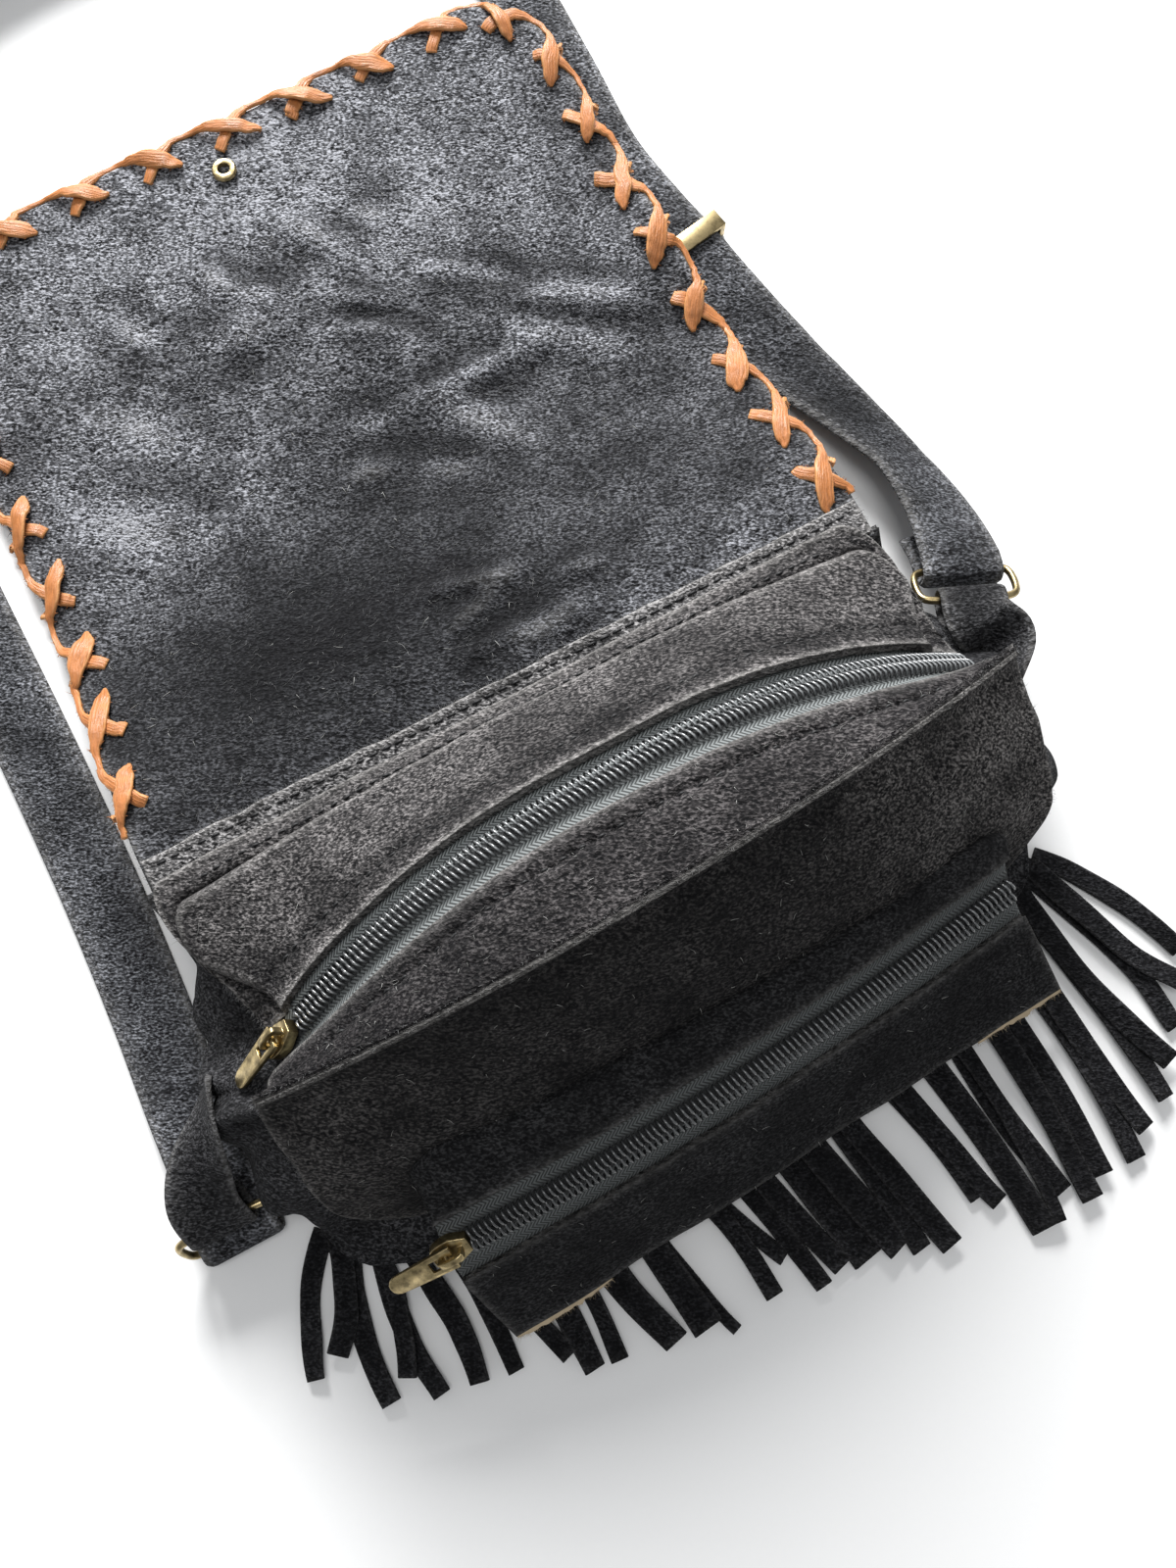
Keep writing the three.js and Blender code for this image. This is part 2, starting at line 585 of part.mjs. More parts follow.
// One side of the bail's arch, drawn from its left foot to its right foot or back again.
function archLine(shape, half, high, heading) {
  shape.lineTo(-heading * half, BAIL.spring * high);
  shape.quadraticCurveTo(-heading * half, high, 0, high);
  shape.quadraticCurveTo(heading * half, high, heading * half, BAIL.spring * high);
  shape.lineTo(heading * half, -BAIL.foot);
}

function sliderBody() {
  const bail = new THREE.Shape();
  const inner = BAIL.half - BAIL.wire;
  bail.moveTo(-BAIL.half, -BAIL.foot);
  archLine(bail, BAIL.half, BAIL.high, 1);
  bail.lineTo(inner, -BAIL.foot);
  archLine(bail, inner, BAIL.high - BAIL.wire, -1);
  const arch = plate(bail, BAIL.wide).translate(0, 0, -BAIL.wide / 2);
  arch.rotateX(Math.PI / 2).translate(0, 0, SLIDER.thick);
  return joined([plate(sliderShape(), SLIDER.thick), arch]);
}

function pullPlate() {
  const half = PULL.wide / 2;
  const tip = PULL.tip * half;
  const shape = new THREE.Shape();
  shape.moveTo(-PULL.bar / 2, -half);
  shape.lineTo(PULL.long - half, -tip);
  shape.quadraticCurveTo(PULL.long, -tip, PULL.long, 0);
  shape.quadraticCurveTo(PULL.long, tip, PULL.long - half, tip);
  shape.lineTo(-PULL.bar / 2, half);
  const window = new THREE.Path();
  const near = PULL.bar / 2;
  const far = near + PULL_WINDOW.long;
  window.moveTo(near, -PULL_WINDOW.wide / 2);
  window.lineTo(near, PULL_WINDOW.wide / 2);
  window.lineTo(far, PULL_WINDOW.wide / 2);
  window.lineTo(far, -PULL_WINDOW.wide / 2);
  shape.holes.push(window);
  return plate(shape, PULL.thick).translate(0, 0, -PULL.thick / 2);
}

// A slider group at the left end of a zip, its length pointing out along the zip.
function addSlider(name, surface, u, high) {
  const group = new THREE.Group();
  const outward = surface(u, 0.5).sub(surface(u + 0.02, 0.5)).normalize();
  const normal = normalAt(surface, u, 0.5);
  const across = normal.clone().cross(outward).normalize();
  normal.copy(outward).cross(across);
  group.quaternion.setFromRotationMatrix(new THREE.Matrix4().makeBasis(outward, across, normal));
  group.position.copy(surface(u, 0.5)).addScaledVector(normal, high);
  addPiece(name + "_slider", sliderBody(), BRASS, group);
  const pull = addPiece(name + "_pull", pullPlate(), BRASS, group);
  pull.position.set(0, 0, SLIDER.thick + PULL.pivotHigh);
  bag.add(group);
}

const mainTape = zipTape(topSurface, BAND.from, BAND.to, TAPE.back, TAPE.front, ACROSS);
addPiece("main_zip_tape", mainTape, TAPE_GREY);
const mainCoil = zipCoil(topSurface, BAND.from + 1 / ACROSS, BAND.to, ACROSS - 1);
addPiece("main_zip_coil", mainCoil, COIL_BLACK);
addSlider("main_zip", topSurface, SLIDER.mainAt, SLIDER.mainHigh);

// Front pocket: a strip above its zip, a loose lower front and a wall round its sides and bottom

const pocketTopLow = (u) => 0.5 + shareBeside(pocketSurface, ZIP.pocketGap, 1)(u);
const pocketFrontHigh = (u) => 0.5 - shareBeside(pocketSurface, ZIP.pocketGap, -1)(u);
const pocketTop = patch(pocketSurface, 0, 1, pocketTopLow, 1);
addPiece("pocket_top", wall(pocketTop, POCKET.across, 2, SUEDE), SUEDE_DARK);
const pocketFront = patch(pocketSurface, 0, 1, 0, pocketFrontHigh);
addPiece("pocket_front", wall(pocketFront, POCKET.across, 4, SUEDE), SUEDE_DARK);
const pocketTape = zipTape(pocketSurface, 0, 1, TAPE.pocket, TAPE.pocket, POCKET.across);
addPiece("pocket_zip_tape", pocketTape, TAPE_GREY);
const pocketCoil = zipCoil(pocketSurface, 1 / POCKET.across, 1, POCKET.across - 1);
addPiece("pocket_zip_coil", pocketCoil, COIL_BLACK);
addSlider("pocket_zip", pocketSurface, SLIDER.pocketAt, SLIDER.pocketHigh);

const pocketInside = offsetSurface(pocketSurface, -2 * SUEDE - TAPE_THICK);
const frontFace = offsetSurface(frontSurface, SUEDE + 2 * GAP);

// The route of the pocket's wall: down its left side, along its bottom and up its right side.
function aroundPocket(t) {
  const { side, inset, low, high } = POCKET_WALL;
  if (t < side) return { u: inset, v: THREE.MathUtils.lerp(high, low, t / side) };
  if (t > 1 - side) return { u: 1 - inset, v: THREE.MathUtils.lerp(high, low, (1 - t) / side) };
  const along = (t - side) / (1 - 2 * side);
  return { u: THREE.MathUtils.lerp(inset, 1 - inset, along), v: low };
}

function pocketWallSurface(t, h) {
  const { low, high, foot, climb } = POCKET_WALL;
  const route = aroundPocket(t);
  const outer = pocketInside(route.u, route.v);
  const down = foot + (climb * (route.v - low)) / (high - low);
  const inner = frontFace(frontAcross(outer.x), down);
  return outer.lerp(inner, h);
}
addPiece("pocket_wall", wall(pocketWallSurface, 26, 1, SUEDE), SUEDE_DARK);

// Gusset: the crumpled wall round the sides and the bottom, from the back panel to the top and front

const topInside = offsetSurface(topSurface, -GUSSET_UPPER.under);
const frontInside = offsetSurface(frontSurface, -GUSSET_UPPER.under);

function gussetUpper(t) {
  const { edge, topFrom, topTo, frontFrom, frontTo } = GUSSET_UPPER;
  const side = Math.min(t, 1 - t) / GUSSET.side;
  const u = t < 0.5 ? edge : 1 - edge;
  const turn = GUSSET.overTop;
  if (side < turn) return topInside(u, THREE.MathUtils.lerp(topFrom, topTo, side / turn));
  if (side < 1) return frontInside(u, THREE.MathUtils.lerp(frontFrom, frontTo, (side - turn) / (1 - turn)));
  const along = (t - GUSSET.side) / (1 - 2 * GUSSET.side);
  return frontSurface(THREE.MathUtils.lerp(edge, 1 - edge, along), 0).add(vec(...GUSSET_LOWER.underFront));
}

function gussetLower(t) {
  const side = Math.min(t, 1 - t) / GUSSET.side;
  let s = t < 0.5 ? -1 : 1;
  let y = THREE.MathUtils.lerp(GUSSET_LOWER.topY, BACK.cornerY + GUSSET_LOWER.inset, Math.min(1, side));
  if (side >= 1) {
    const along = (t - GUSSET.side) / (1 - 2 * GUSSET.side);
    s = -Math.cos(Math.PI * along);
    y = backBottomY(s) + GUSSET_LOWER.inset;
  }
  return vec(BACK.half * GUSSET_LOWER.share * s, y, backZ(y) + SUEDE + GAP + GUSSET_LOWER.lift);
}

function gussetSurface(t, h) {
  const lower = gussetLower(t);
  const upper = gussetUpper(t);
  const outward = vec(lower.x / BACK.half, 0, 0);
  if (Math.abs(outward.x) < 0.9) outward.y = -1;
  outward.normalize();
  const side = Math.min(1, Math.min(t, 1 - t) / GUSSET.side);
  const tall = THREE.MathUtils.clamp(lower.distanceTo(upper) / GUSSET.tall, 0, 1);
  const pleat = GUSSET.pleat * Math.sin(2 * Math.PI * GUSSET.pleats * side + GUSSET.slope * h);
  const swell = (GUSSET.bulge + pleat) * Math.sin(Math.PI * h) * tall;
  return lower.lerp(upper, h).addScaledVector(outward, swell);
}
addPiece("gusset", wall((t, h) => gussetSurface(1 - t, h), 38, 4, SUEDE), SUEDE_DARK);

// Fringe: cut strands that run out of a heading sewn under the body's lower edge

function fringeRoot(along) {
  const s = THREE.MathUtils.clamp(along, -1, 1);
  return vec(FRINGE.rootOut * BACK.half * s, backBottomY(s) - FRINGE.rootBack, 0);
}

// A bundle of strands between two places on the lower edge, with the strands' tips from a table.
function fringe(rows, count, salt) {
  const low = FRINGE.thick / 2 + FRINGE.floor;
  const headCurve = (t) => {
    const along = THREE.MathUtils.lerp(rows[0].along, rows[rows.length - 1].along, t);
    const root = fringeRoot(along);
    return vec(root.x, root.y - GAP - FRINGE.heading / 2, low);
  };
  const pieces = [strip(8, headCurve, () => vec(0, 1, 0), () => FRINGE.heading, FRINGE.thick)];
  for (let i = 0; i < count; i++) {
    const t = (i + 0.5) / count;
    const place = t * (rows.length - 1);
    const row = Math.min(rows.length - 2, Math.floor(place));
    const share = place - row;
    const asideX = FRINGE_SCATTER.tipX * scatter(i, salt);
    const asideY = FRINGE_SCATTER.tipY * scatter(i, salt + 1);
    const tipX = THREE.MathUtils.lerp(rows[row].tipX, rows[row + 1].tipX, share) + asideX;
    const tipY = THREE.MathUtils.lerp(rows[row].tipY, rows[row + 1].tipY, share) + asideY;
    const layer = i % 2 === 0 ? 0 : FRINGE.layer;
    const start = headCurve(t).add(vec(0, -1, 0));
    const tip = vec(tipX, tipY, low + layer);
    const bowLift = FRINGE_SCATTER.bowLayer * layer + FRINGE_SCATTER.bowLift;
    const bowX = FRINGE_SCATTER.bow * scatter(i, salt + 2);
    const bow = start.clone().lerp(tip, 0.5).add(vec(bowX, 0, bowLift));
    const curve = new THREE.QuadraticBezierCurve3(start, bow, tip);
    const width = FRINGE.width * (1 + FRINGE_SCATTER.width * scatter(i, salt + 3));
    pieces.push(strip(2, (k) => curve.getPoint(k), () => vec(1, 0, 0), () => width, FRINGE.thick));
  }
  return joined(pieces);
}

addPiece("fringe_left", fringe(FRINGE_LEFT, 7, 1), SUEDE_BLACK);
addPiece("fringe_bottom", fringe(FRINGE_BOTTOM, 24, 7), SUEDE_BLACK);
addPiece("fringe_right", fringe(FRINGE_RIGHT, 8, 13), SUEDE_BLACK);

// Shoulder strap, its rings and slide

const strapCurve = new THREE.CatmullRomCurve3(
  STRAP_ROUTE.map((row) => vec(row.x, row.y, row.z)),
  false,
  "centripetal",
);

function strapAcross(t) {
  const place = t * (STRAP_ROUTE.length - 1);
  const row = Math.min(STRAP_ROUTE.length - 2, Math.floor(place));
  const from = STRAP_ROUTE[row];
  const to = STRAP_ROUTE[row + 1];
  const heading = THREE.MathUtils.degToRad(THREE.MathUtils.lerp(from.across, to.across, place - row));
  const tilt = THREE.MathUtils.degToRad(THREE.MathUtils.lerp(from.tilt, to.tilt, place - row));
  return vec(Math.cos(tilt) * Math.cos(heading), Math.cos(tilt) * Math.sin(heading), Math.sin(tilt));
}
const STRAP_CELLS = 2 * (STRAP_ROUTE.length - 1);
addPiece(
  "strap",
  strip(STRAP_CELLS, (t) => strapCurve.getPoint(t), strapAcross, () => STRAP_WIDTH, STRAP_THICK),
  SUEDE_BLACK,
);

// A rectangular wire ring, its long bars along X and its middle at the origin.
function wireRing() {
  const torus = new THREE.TorusGeometry(RING.radius, WIRE / 2, 6, 16);
  const halfLong = (RING.inside + WIRE) / 2;
  const halfDeep = (RING.deep + WIRE) / 2;
  const signedPower = (value, power) => Math.sign(value) * Math.abs(value) ** power;
  return deform(torus, (p) => {
    const angle = Math.atan2(p.y, p.x);
    const from = Math.hypot(p.x, p.y) - RING.radius;
    const c = Math.cos(angle);
    const s = Math.sin(angle);
    const normal = new THREE.Vector2(
      signedPower(c, 2 - RING.square) / halfLong,
      signedPower(s, 2 - RING.square) / halfDeep,
    ).normalize();
    return vec(
      halfLong * signedPower(c, RING.square) + normal.x * from,
      halfDeep * signedPower(s, RING.square) + normal.y * from,
      p.z,
    );
  });
}

function placedRing(ring) {
  const bars = vec(...ring.bars).normalize();
  const toTab = vec(...ring.toTab).normalize();
  const normal = bars.clone().cross(toTab);
  const place = new THREE.Matrix4().makeBasis(bars, toTab, normal).setPosition(...ring.middle);
  return wireRing().applyMatrix4(place);
}
addPiece("ring_left", placedRing(RING_LEFT), BRASS);
addPiece("ring_right", placedRing(RING_RIGHT), BRASS);

// A tab: one strip from the seam over the ring's bar, round it and a little way back underneath.
function ringTab(tab, ring) {
  const bars = vec(...ring.bars).normalize();
  const toTab = vec(...ring.toTab).normalize();
  const bar = vec(...ring.middle).addScaledVector(toTab, (RING.deep + WIRE) / 2);
  const bend = vec(...tab.bend);
  const heading = bar.clone().sub(bend);
  heading.addScaledVector(bars, -heading.dot(bars)).normalize();
  const over = heading.clone().cross(bars);
  if (over.z < 0) over.negate();
  const round = (angle) =>
    bar
      .clone()
      .addScaledVector(over, TAB.bar * Math.cos(angle))
      .addScaledVector(heading, TAB.bar * Math.sin(angle));
  const points = [vec(...tab.root), bend, round(0).addScaledVector(heading, -TAB.lead)];
  for (let i = 0; i <= TAB.turns; i++) points.push(round((i * Math.PI) / TAB.turns));
  points.push(round(Math.PI).addScaledVector(heading, -TAB.tail));
  const curve = new THREE.CatmullRomCurve3(points, false, "centripetal");
  const rootAcross = vec(...tab.rootAcross).normalize();
  const turned = 2 / (points.length - 1);
  const acrossAt = (t) => rootAcross.clone().lerp(bars, Math.min(1, t / turned));
  return strip(16, (t) => curve.getPoint(t), acrossAt, () => TAB.width, SUEDE);
}
addPiece("tab_left", ringTab(TAB_LEFT, RING_LEFT), SUEDE_BLACK);
addPiece("tab_right", ringTab(TAB_RIGHT, RING_RIGHT), SUEDE_BLACK);

function slideFrame() {
  const shape = new THREE.Shape();
  const halfWide = SLIDE.inside / 2 + SLIDE.side;
  const halfHigh = SLIDE.gap / 2 + SLIDE.bar;
  shape.moveTo(-halfWide, -halfHigh);
  shape.lineTo(halfWide, -halfHigh);
  shape.lineTo(halfWide, halfHigh);
  shape.lineTo(-halfWide, halfHigh);
  const slot = new THREE.Path();
  slot.moveTo(-SLIDE.inside / 2, -SLIDE.gap / 2);
  slot.lineTo(-SLIDE.inside / 2, SLIDE.gap / 2);
  slot.lineTo(SLIDE.inside / 2, SLIDE.gap / 2);
  slot.lineTo(SLIDE.inside / 2, -SLIDE.gap / 2);
  shape.holes.push(slot);
  const frame = new THREE.ExtrudeGeometry(shape, { depth: SLIDE.long, bevelEnabled: false });
  frame.translate(0, 0, -SLIDE.long / 2).rotateX(Math.PI / 2);
  frame.rotateZ(THREE.MathUtils.degToRad(SLIDE.heading));
  return frame.translate(SLIDE.x, SLIDE.y, SLIDE.z);
}
addPiece("strap_slide", slideFrame(), BRASS);

export default bag;
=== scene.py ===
"""A black suede fringe crossbody bag that lies on its back with its laced flap open.

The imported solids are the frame. The soft pieces are built here in more detail on the same surfaces,
and the brass pieces are copies of the frame's own with rounded edges. Lengths in the tables are millimetres.
"""

import math

import bpy
import numpy as np
from mathutils import Matrix


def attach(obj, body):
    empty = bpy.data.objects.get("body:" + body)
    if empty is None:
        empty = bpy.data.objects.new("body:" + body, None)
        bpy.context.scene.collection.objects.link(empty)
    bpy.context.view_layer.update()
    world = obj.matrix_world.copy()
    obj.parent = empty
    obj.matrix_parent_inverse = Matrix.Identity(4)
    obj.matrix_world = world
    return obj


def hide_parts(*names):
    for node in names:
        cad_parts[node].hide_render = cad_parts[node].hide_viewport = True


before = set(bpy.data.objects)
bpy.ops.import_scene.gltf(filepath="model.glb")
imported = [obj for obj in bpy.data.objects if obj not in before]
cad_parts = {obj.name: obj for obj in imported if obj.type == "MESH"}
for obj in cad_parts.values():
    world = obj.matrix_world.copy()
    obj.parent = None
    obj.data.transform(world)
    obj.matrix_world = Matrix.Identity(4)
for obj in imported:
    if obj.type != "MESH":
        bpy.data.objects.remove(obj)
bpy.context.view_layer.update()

bl_info = {
    "name": "Fringe Crossbody Bag",
    "version": (1, 0, 0),
    "blender": (4, 5, 0),
    "location": "View3D > Sidebar > Bag",
    "description": "Builds a suede fringe crossbody bag round its packed solids",
    "category": "Object",
}

MM = 0.001
BODY = "bag"
SUEDE_THICK = 1.6
UP = np.array([0, 0, 1.0])


def table(columns, *rows):
    """A table's rows, each with its values under the names of the columns."""
    return [dict(zip(columns.split(), row)) for row in rows]


def keyed(columns, **rows):
    """The same for a table whose rows have names of their own."""
    return {name: dict(zip(columns.split(), row)) for name, row in rows.items()}


# Seams across the bag: middle at (y, z), ends half a width to each side and moved by end_y and end_z.
# skew carries one end back and the other forward, and a high power bends only the ends.
SEAMS = keyed(
    "centre half y z skew end_y end_z power",
    hinge=(-3, 110, 57, 33.8, 1.5, 0, 0, 2),
    zip=(7, 101, 22, 66, 3, -17, -27, 2.4),
    welt=(6.5, 108, -10, 78, 6, 9, -27, 2.2),
    front_middle=(5, 107, -38, 51, 1, 8, -16, 2.2),
    front_low=(2, 104, -54, 16, 2, 12, -5, 3),
    pocket_zip=(5, 84, -56, 43, 6, 3, -8, 2),
    pocket_low=(9, 85, -83, 13, 5.5, 0, -2, 2),
)
POCKET = {"centre": 9, "half": 82, "seam": 0.5}
BACK = {"half": 110, "corner_y": -34, "bottom": 15, "top_y": 55, "flat_to": 18, "rise": 26, "square": 4}
FLAP = {
    "half": 107, "root_y": 52, "flat": 8, "end_y": 270, "corner": 28,
    "root_z": 29, "low_z": 3.7, "fall_y": 152, "bunch": 1.12, "calm": 12,
}
HINGE_STRIP = {"half": 106, "from_y": 53, "to_y": 63, "step": 2.3}
HINGE_STITCH = {"from_edge": 2.6, "from_end": 3, "wide": 0.8, "deep": 0.55}
HINGE_RAGGED = {"from": 0.9, "high": 0.35, "long": 6, "seed": 11}
HINGE_WAVE = {"high": 0.25, "x": 9, "y": 5, "seed": 13}
BAND = {"from": 0.005, "to": 0.995, "edge": 0.035, "turn": 0.22, "lean": 0.5}
FRONT = {"edge": 0.955, "turn": 0.88, "meet": 0.4}
FRONT_SAG = {"high": 0.9, "across": 48, "up": 8, "seed": 71}
WELT_HIGH = 5.5
WELT_PRESS = 0.15
GAP = 0.35
ZIP = {
    "gap_back": 7.2, "gap_front": 8, "gap_end": 6.5, "gap_power": 6, "start": 0.05,
    "pocket_gap": 8, "pocket_gap_low": 11, "pocket_start": 0.045,
}
BAND_CORNER = {"drop": 0.22, "share": 0.045}
BAND_PANEL = {
    "stitch": 3.2, "beside": 1, "from": 8, "to": 11, "high": 2.2,
    "crease": 1.5, "narrow": 1.3, "round": 13,
}
# The strip behind the zip: a pale line where its panel rises and a pale lip, then painted shade beside the
# zip: its strength, distance from the zip and width.
BAND_WEAR_AND_SHADE = {"crest": 0.4, "crest_wide": 1.2, "lip": 0.32, "shade": 0.42, "from_zip": 6.5, "wide": 4}
BAND_STITCH = {"from_edge": 5.5, "from_zip": 7.5, "pitch": 5.5, "share": 0.42, "bare": 24}
BAND_WANDER = {"high": 0.5, "long": 9, "seed": 67}
BACK_GROOVE = {"wide": 1.0, "deep": 0.7}
FRONT_GROOVE = {"wide": 1.5, "deep": 1.7}
FRONT_CORNER = {"drop": 0.3, "share": 0.1}
POCKET_CORNER = {"drop": 0.6, "share": 0.05}
POCKET_RIDGE = {"from_edge": 1.6, "wide": 1.5, "high": 1.3}

# How the pocket's upper suede leans on the front: from what share of its own height, how low on the front its
# zip's line lies, as a share of the seam's height, and how far its middle stays above the front's.
POCKET_SEAT = 0.55
POCKET_FOOT = 0.55
POCKET_PRESS = 0.6

# The pocket's torn lower edge: where it shows, as shares of the edge, and its size.
POCKET_RAW = table("from to", (0.0, 0.17), (0.84, 1.0))
RAW_EDGE = {"wide": 1.7, "uneven": 0.9, "tears": 17, "seed": 73, "fade": 0.08, "out": 0.5, "thick": 0.9}
RAW_HAIR = {"count": 260, "long": 1.5, "seed": 79}

LIP = {"wide": 2.2, "fold": 0.45, "front_fold": 0.225, "drop": 0.15, "round": 0.45}
# shade and sharp: the width and edge of the painted shade on the tape under the coil.
TAPE = {
    "back": 12, "front": 13, "pocket": 13, "most": 0.3, "sunk": 0.3,
    "thick": 0.8, "shade": 3.7, "sharp": 6,
}

# Cells of each sheet's grid, across it and along it, and points along each line, or for each row of a lace.
CELLS = {
    "flap": (180, 190), "hinge": (320, 18), "band_back": (320, 64), "band_front": (320, 56),
    "front": (260, 76), "pocket_top": (300, 26), "pocket_front": (240, 46), "pocket_wall": (160, 10),
    "tape": (160, 24), "back": (80, 50), "gusset": (300, 40),
}
LINE_POINTS = {"hinge": 300, "lace_row": 5, "zip": 800, "strand": 26, "heading": 60, "strap": 640, "tab": 90}

# Soft crumples of a piece: height, length and seed of their noise. They fade out near a seam over CALM_EDGE.
CRUMPLE = keyed(
    "high long seed",
    band_back=(0.45, 22, 23),
    band_front=(0.35, 18, 29),
    front=(0.55, 26, 31),
    pocket_top=(0.3, 16, 37),
    pocket_front=(0.45, 20, 41),
    gusset=(1.1, 12, 43),
)
CRUMPLE_FINE = {"high": 0.5, "part": 2.1}
CALM_EDGE = (5, 12)
GUSSET_CALM = (4, 20)

# How strong the painted highlight on a zip coil's turns is at its first end, at most, and from what share of
# its length on:
# dimmer at the main coil's shaded end and on the pocket's coil, which lies in shade.
COIL_PAINTED_HIGHLIGHT = keyed("first most from", main=(0.45, 1.0, 0.4), pocket=(0.35, 0.65, 0.5))

# Soft dents pressed through the flap: middle, turn, half length, half width and height.
FLAP_DENTS = table(
    "x y turn long wide high",
    (-17, 210, -50, 14, 8, 2.4),
    (18, 175, -30, 15, 7, 2.2),
    (59, 160, -41, 32, 6, 2.6),
    (28, 145, -54, 26, 7, 2.2),
    (5, 87, 20, 16, 5, 2.0),
    (14, 70, 15, 22, 4.5, 1.8),
)
FLAP_LIFTS = table("x y wide_x wide_y high", (106, 205, 26, 95, 3.8), (108, 166, 20, 20, 4.2))

# Sharper creases on the flap, in the same columns as its dents.
FLAP_CREASES = table(
    "x y turn long wide high",
    (12, 221, -59, 12, 4.0, 2.8),
    (-20, 220, -69, 8, 4.0, 2.5),
    (16, 195, -36, 9, 3.0, 2.2),
    (15, 184, -34, 10, 3.0, 2.2),
    (40, 157, 1, 18, 4.0, 3.0),
    (43, 191, -39, 10, 4.0, 2.0),
    (66, 168, -33, 26, 4.5, 2.8),
    (3, 94, -15, 12, 3.2, 3.2),
    (5, 73, -5, 12, 3.0, 2.4),
    (33, 82, -6, 7, 3.0, 2.2),
    (-22, 200, -2, 12, 6.0, 2.0),
    (-5, 143, -15, 8, 5.0, 1.7),
)

# Crests that are rubbed pale but hardly raised, with painted shade round them, in the same columns.
FLAP_RUBBED_AND_SHADED = table(
    "x y turn long wide high",
    (31, 221, -40, 7, 4.0, 1.0),
    (-48, 217, -50, 9, 5.0, 1.0),
    (-11, 211, -30, 6, 3.5, 1.0),
    (55, 185, -35, 9, 4.0, 1.0),
    (78, 166, -36, 20, 4.5, 1.0),
    (2, 158, -20, 8, 4.5, 1.0),
    (17, 132, -25, 12, 5.0, 1.0),
    (-62, 190, -45, 16, 7.0, 1.0),
    (-74, 160, -35, 18, 8.0, 1.0),
)
# The painted shade round the flap's crests: its depth, width and length as shares of the crest's, then the
# gain, the darkest painted shade and the palest crest.
WEAR_AND_PAINTED_LIGHT = {
    "hollow": 0.62, "hollow_wide": 2.1, "hollow_long": 1.25,
    "gain": 1.1, "darkest": 0.56, "palest": 0.44,
}

# Small creases over the flap: length across and along it, height and seed of each noise.
FLAP_RIPPLES = table("x y high seed", (26, 30, 0.7, 3), (11, 14, 0.35, 5), (5.5, 4.5, 0.16, 7))

# Patches where a piece is painted darker or lighter: middle, half sizes and gain.
# On the flap they are painted light and painted shade, for how the light falls across it.
FLAP_LIGHT_AND_SHADE_PATCHES = table(
    "x y wide deep gain",
    (-46, 99, 150, 88, -0.94),
    (-55, 64, 75, 26, 0.5),
    (-70, 155, 58, 48, 1.6),
    (35, 178, 85, 55, 0.7),
    (80, 98, 55, 42, -0.45),
    (78, 165, 40, 24, 0.5),
    (37, 150, 32, 24, 0.8),
    (-95, 195, 75, 75, 0.5),
    (0, 248, 170, 84, 1.6),
    (45, 66, 80, 18, 0.7),
)
FRONT_TONE_PATCHES = table("x y wide deep gain", (98, -16, 66, 46, 2.9), (-98, -26, 48, 40, 0.9))
BAND_TONE_PATCHES = table(
    "x y wide deep gain",
    (-80, 2, 60, 40, -0.35),
    (75, 14, 70, 40, 0.12),
    (34, 4, 60, 40, 0.45),
)
STRAP_TONE_PATCHES = table("x y wide deep gain", (128, 92, 40, 70, -0.7))

LACING = {
    "root_y": 66, "pitch": 24, "round": 12, "end": 0.5, "apart": 1,
    "uneven": 0.16, "sway": 0.6, "crown": 0.05,
}

# The lace between two stitches: which stitch a row is placed from, then how far in from the flap's edge,
# along it and above the flap it lies, and its width.
LACE_RUN = table(
    "stitch inward along high width",
    (0, 8.8, -0.8, 1.1, 3.4),
    (0, 7.0, 1.0, 1.7, 3.8),
    (0, 4.0, 4.4, 1.7, 4.0),
    (0, 1.4, 7.8, 1.7, 3.4),
    (0, -0.2, 10.4, 1.1, 2.4),
    (0, -0.8, 13.0, 0.6, 1.7),
    (1, -0.9, -7.4, 0.6, 1.6),
    (1, -0.5, -4.6, 1.2, 1.7),
    (1, 0.6, -1.6, 2.4, 2.6),
    (1, 2.6, 2.2, 3.2, 4.8),
    (1, 4.8, 6.4, 3.2, 5.6),
    (1, 6.8, 10.2, 2.3, 4.9),
    (1, 8.2, 13.2, 1.2, 1.0),
)
LACE_LEAVING = [row for row in LACE_RUN if row["stitch"] == 0]
LACE_ARRIVING = [row for row in LACE_RUN if row["stitch"] == 1]

# The lace under the flap's edge, placed from its one stitch.
LACE_UNDER = table(
    "inward along high width",
    (-1.2, 0, 0.2, 3.2),
    (-0.3, 0, -1.9, 4.6),
    (3.2, -1, -2.1, 6.0),
    (8, -2, -1.9, 3.4),
)

# Unevenness along a lace: size, waves along it and seed of each noise.
LACE_WAVES = keyed(
    "size waves seed",
    wobble=(0.22, 23, 25),
    width=(0.14, 9, 17),
    roll=(0.45, 4, 19),
)

# Seeds of a lace's sway and own measures, then what its second wobble and the laces under the edge add.
LACE_SEEDS = {"sway": 21, "reach": 23, "aside": 70, "under": 50}
FRAY = {"seed": 200, "in": 0.96, "spread": 0.5, "least": 0.4, "most": 1.1, "radius": 0.11, "curl": 0.5}

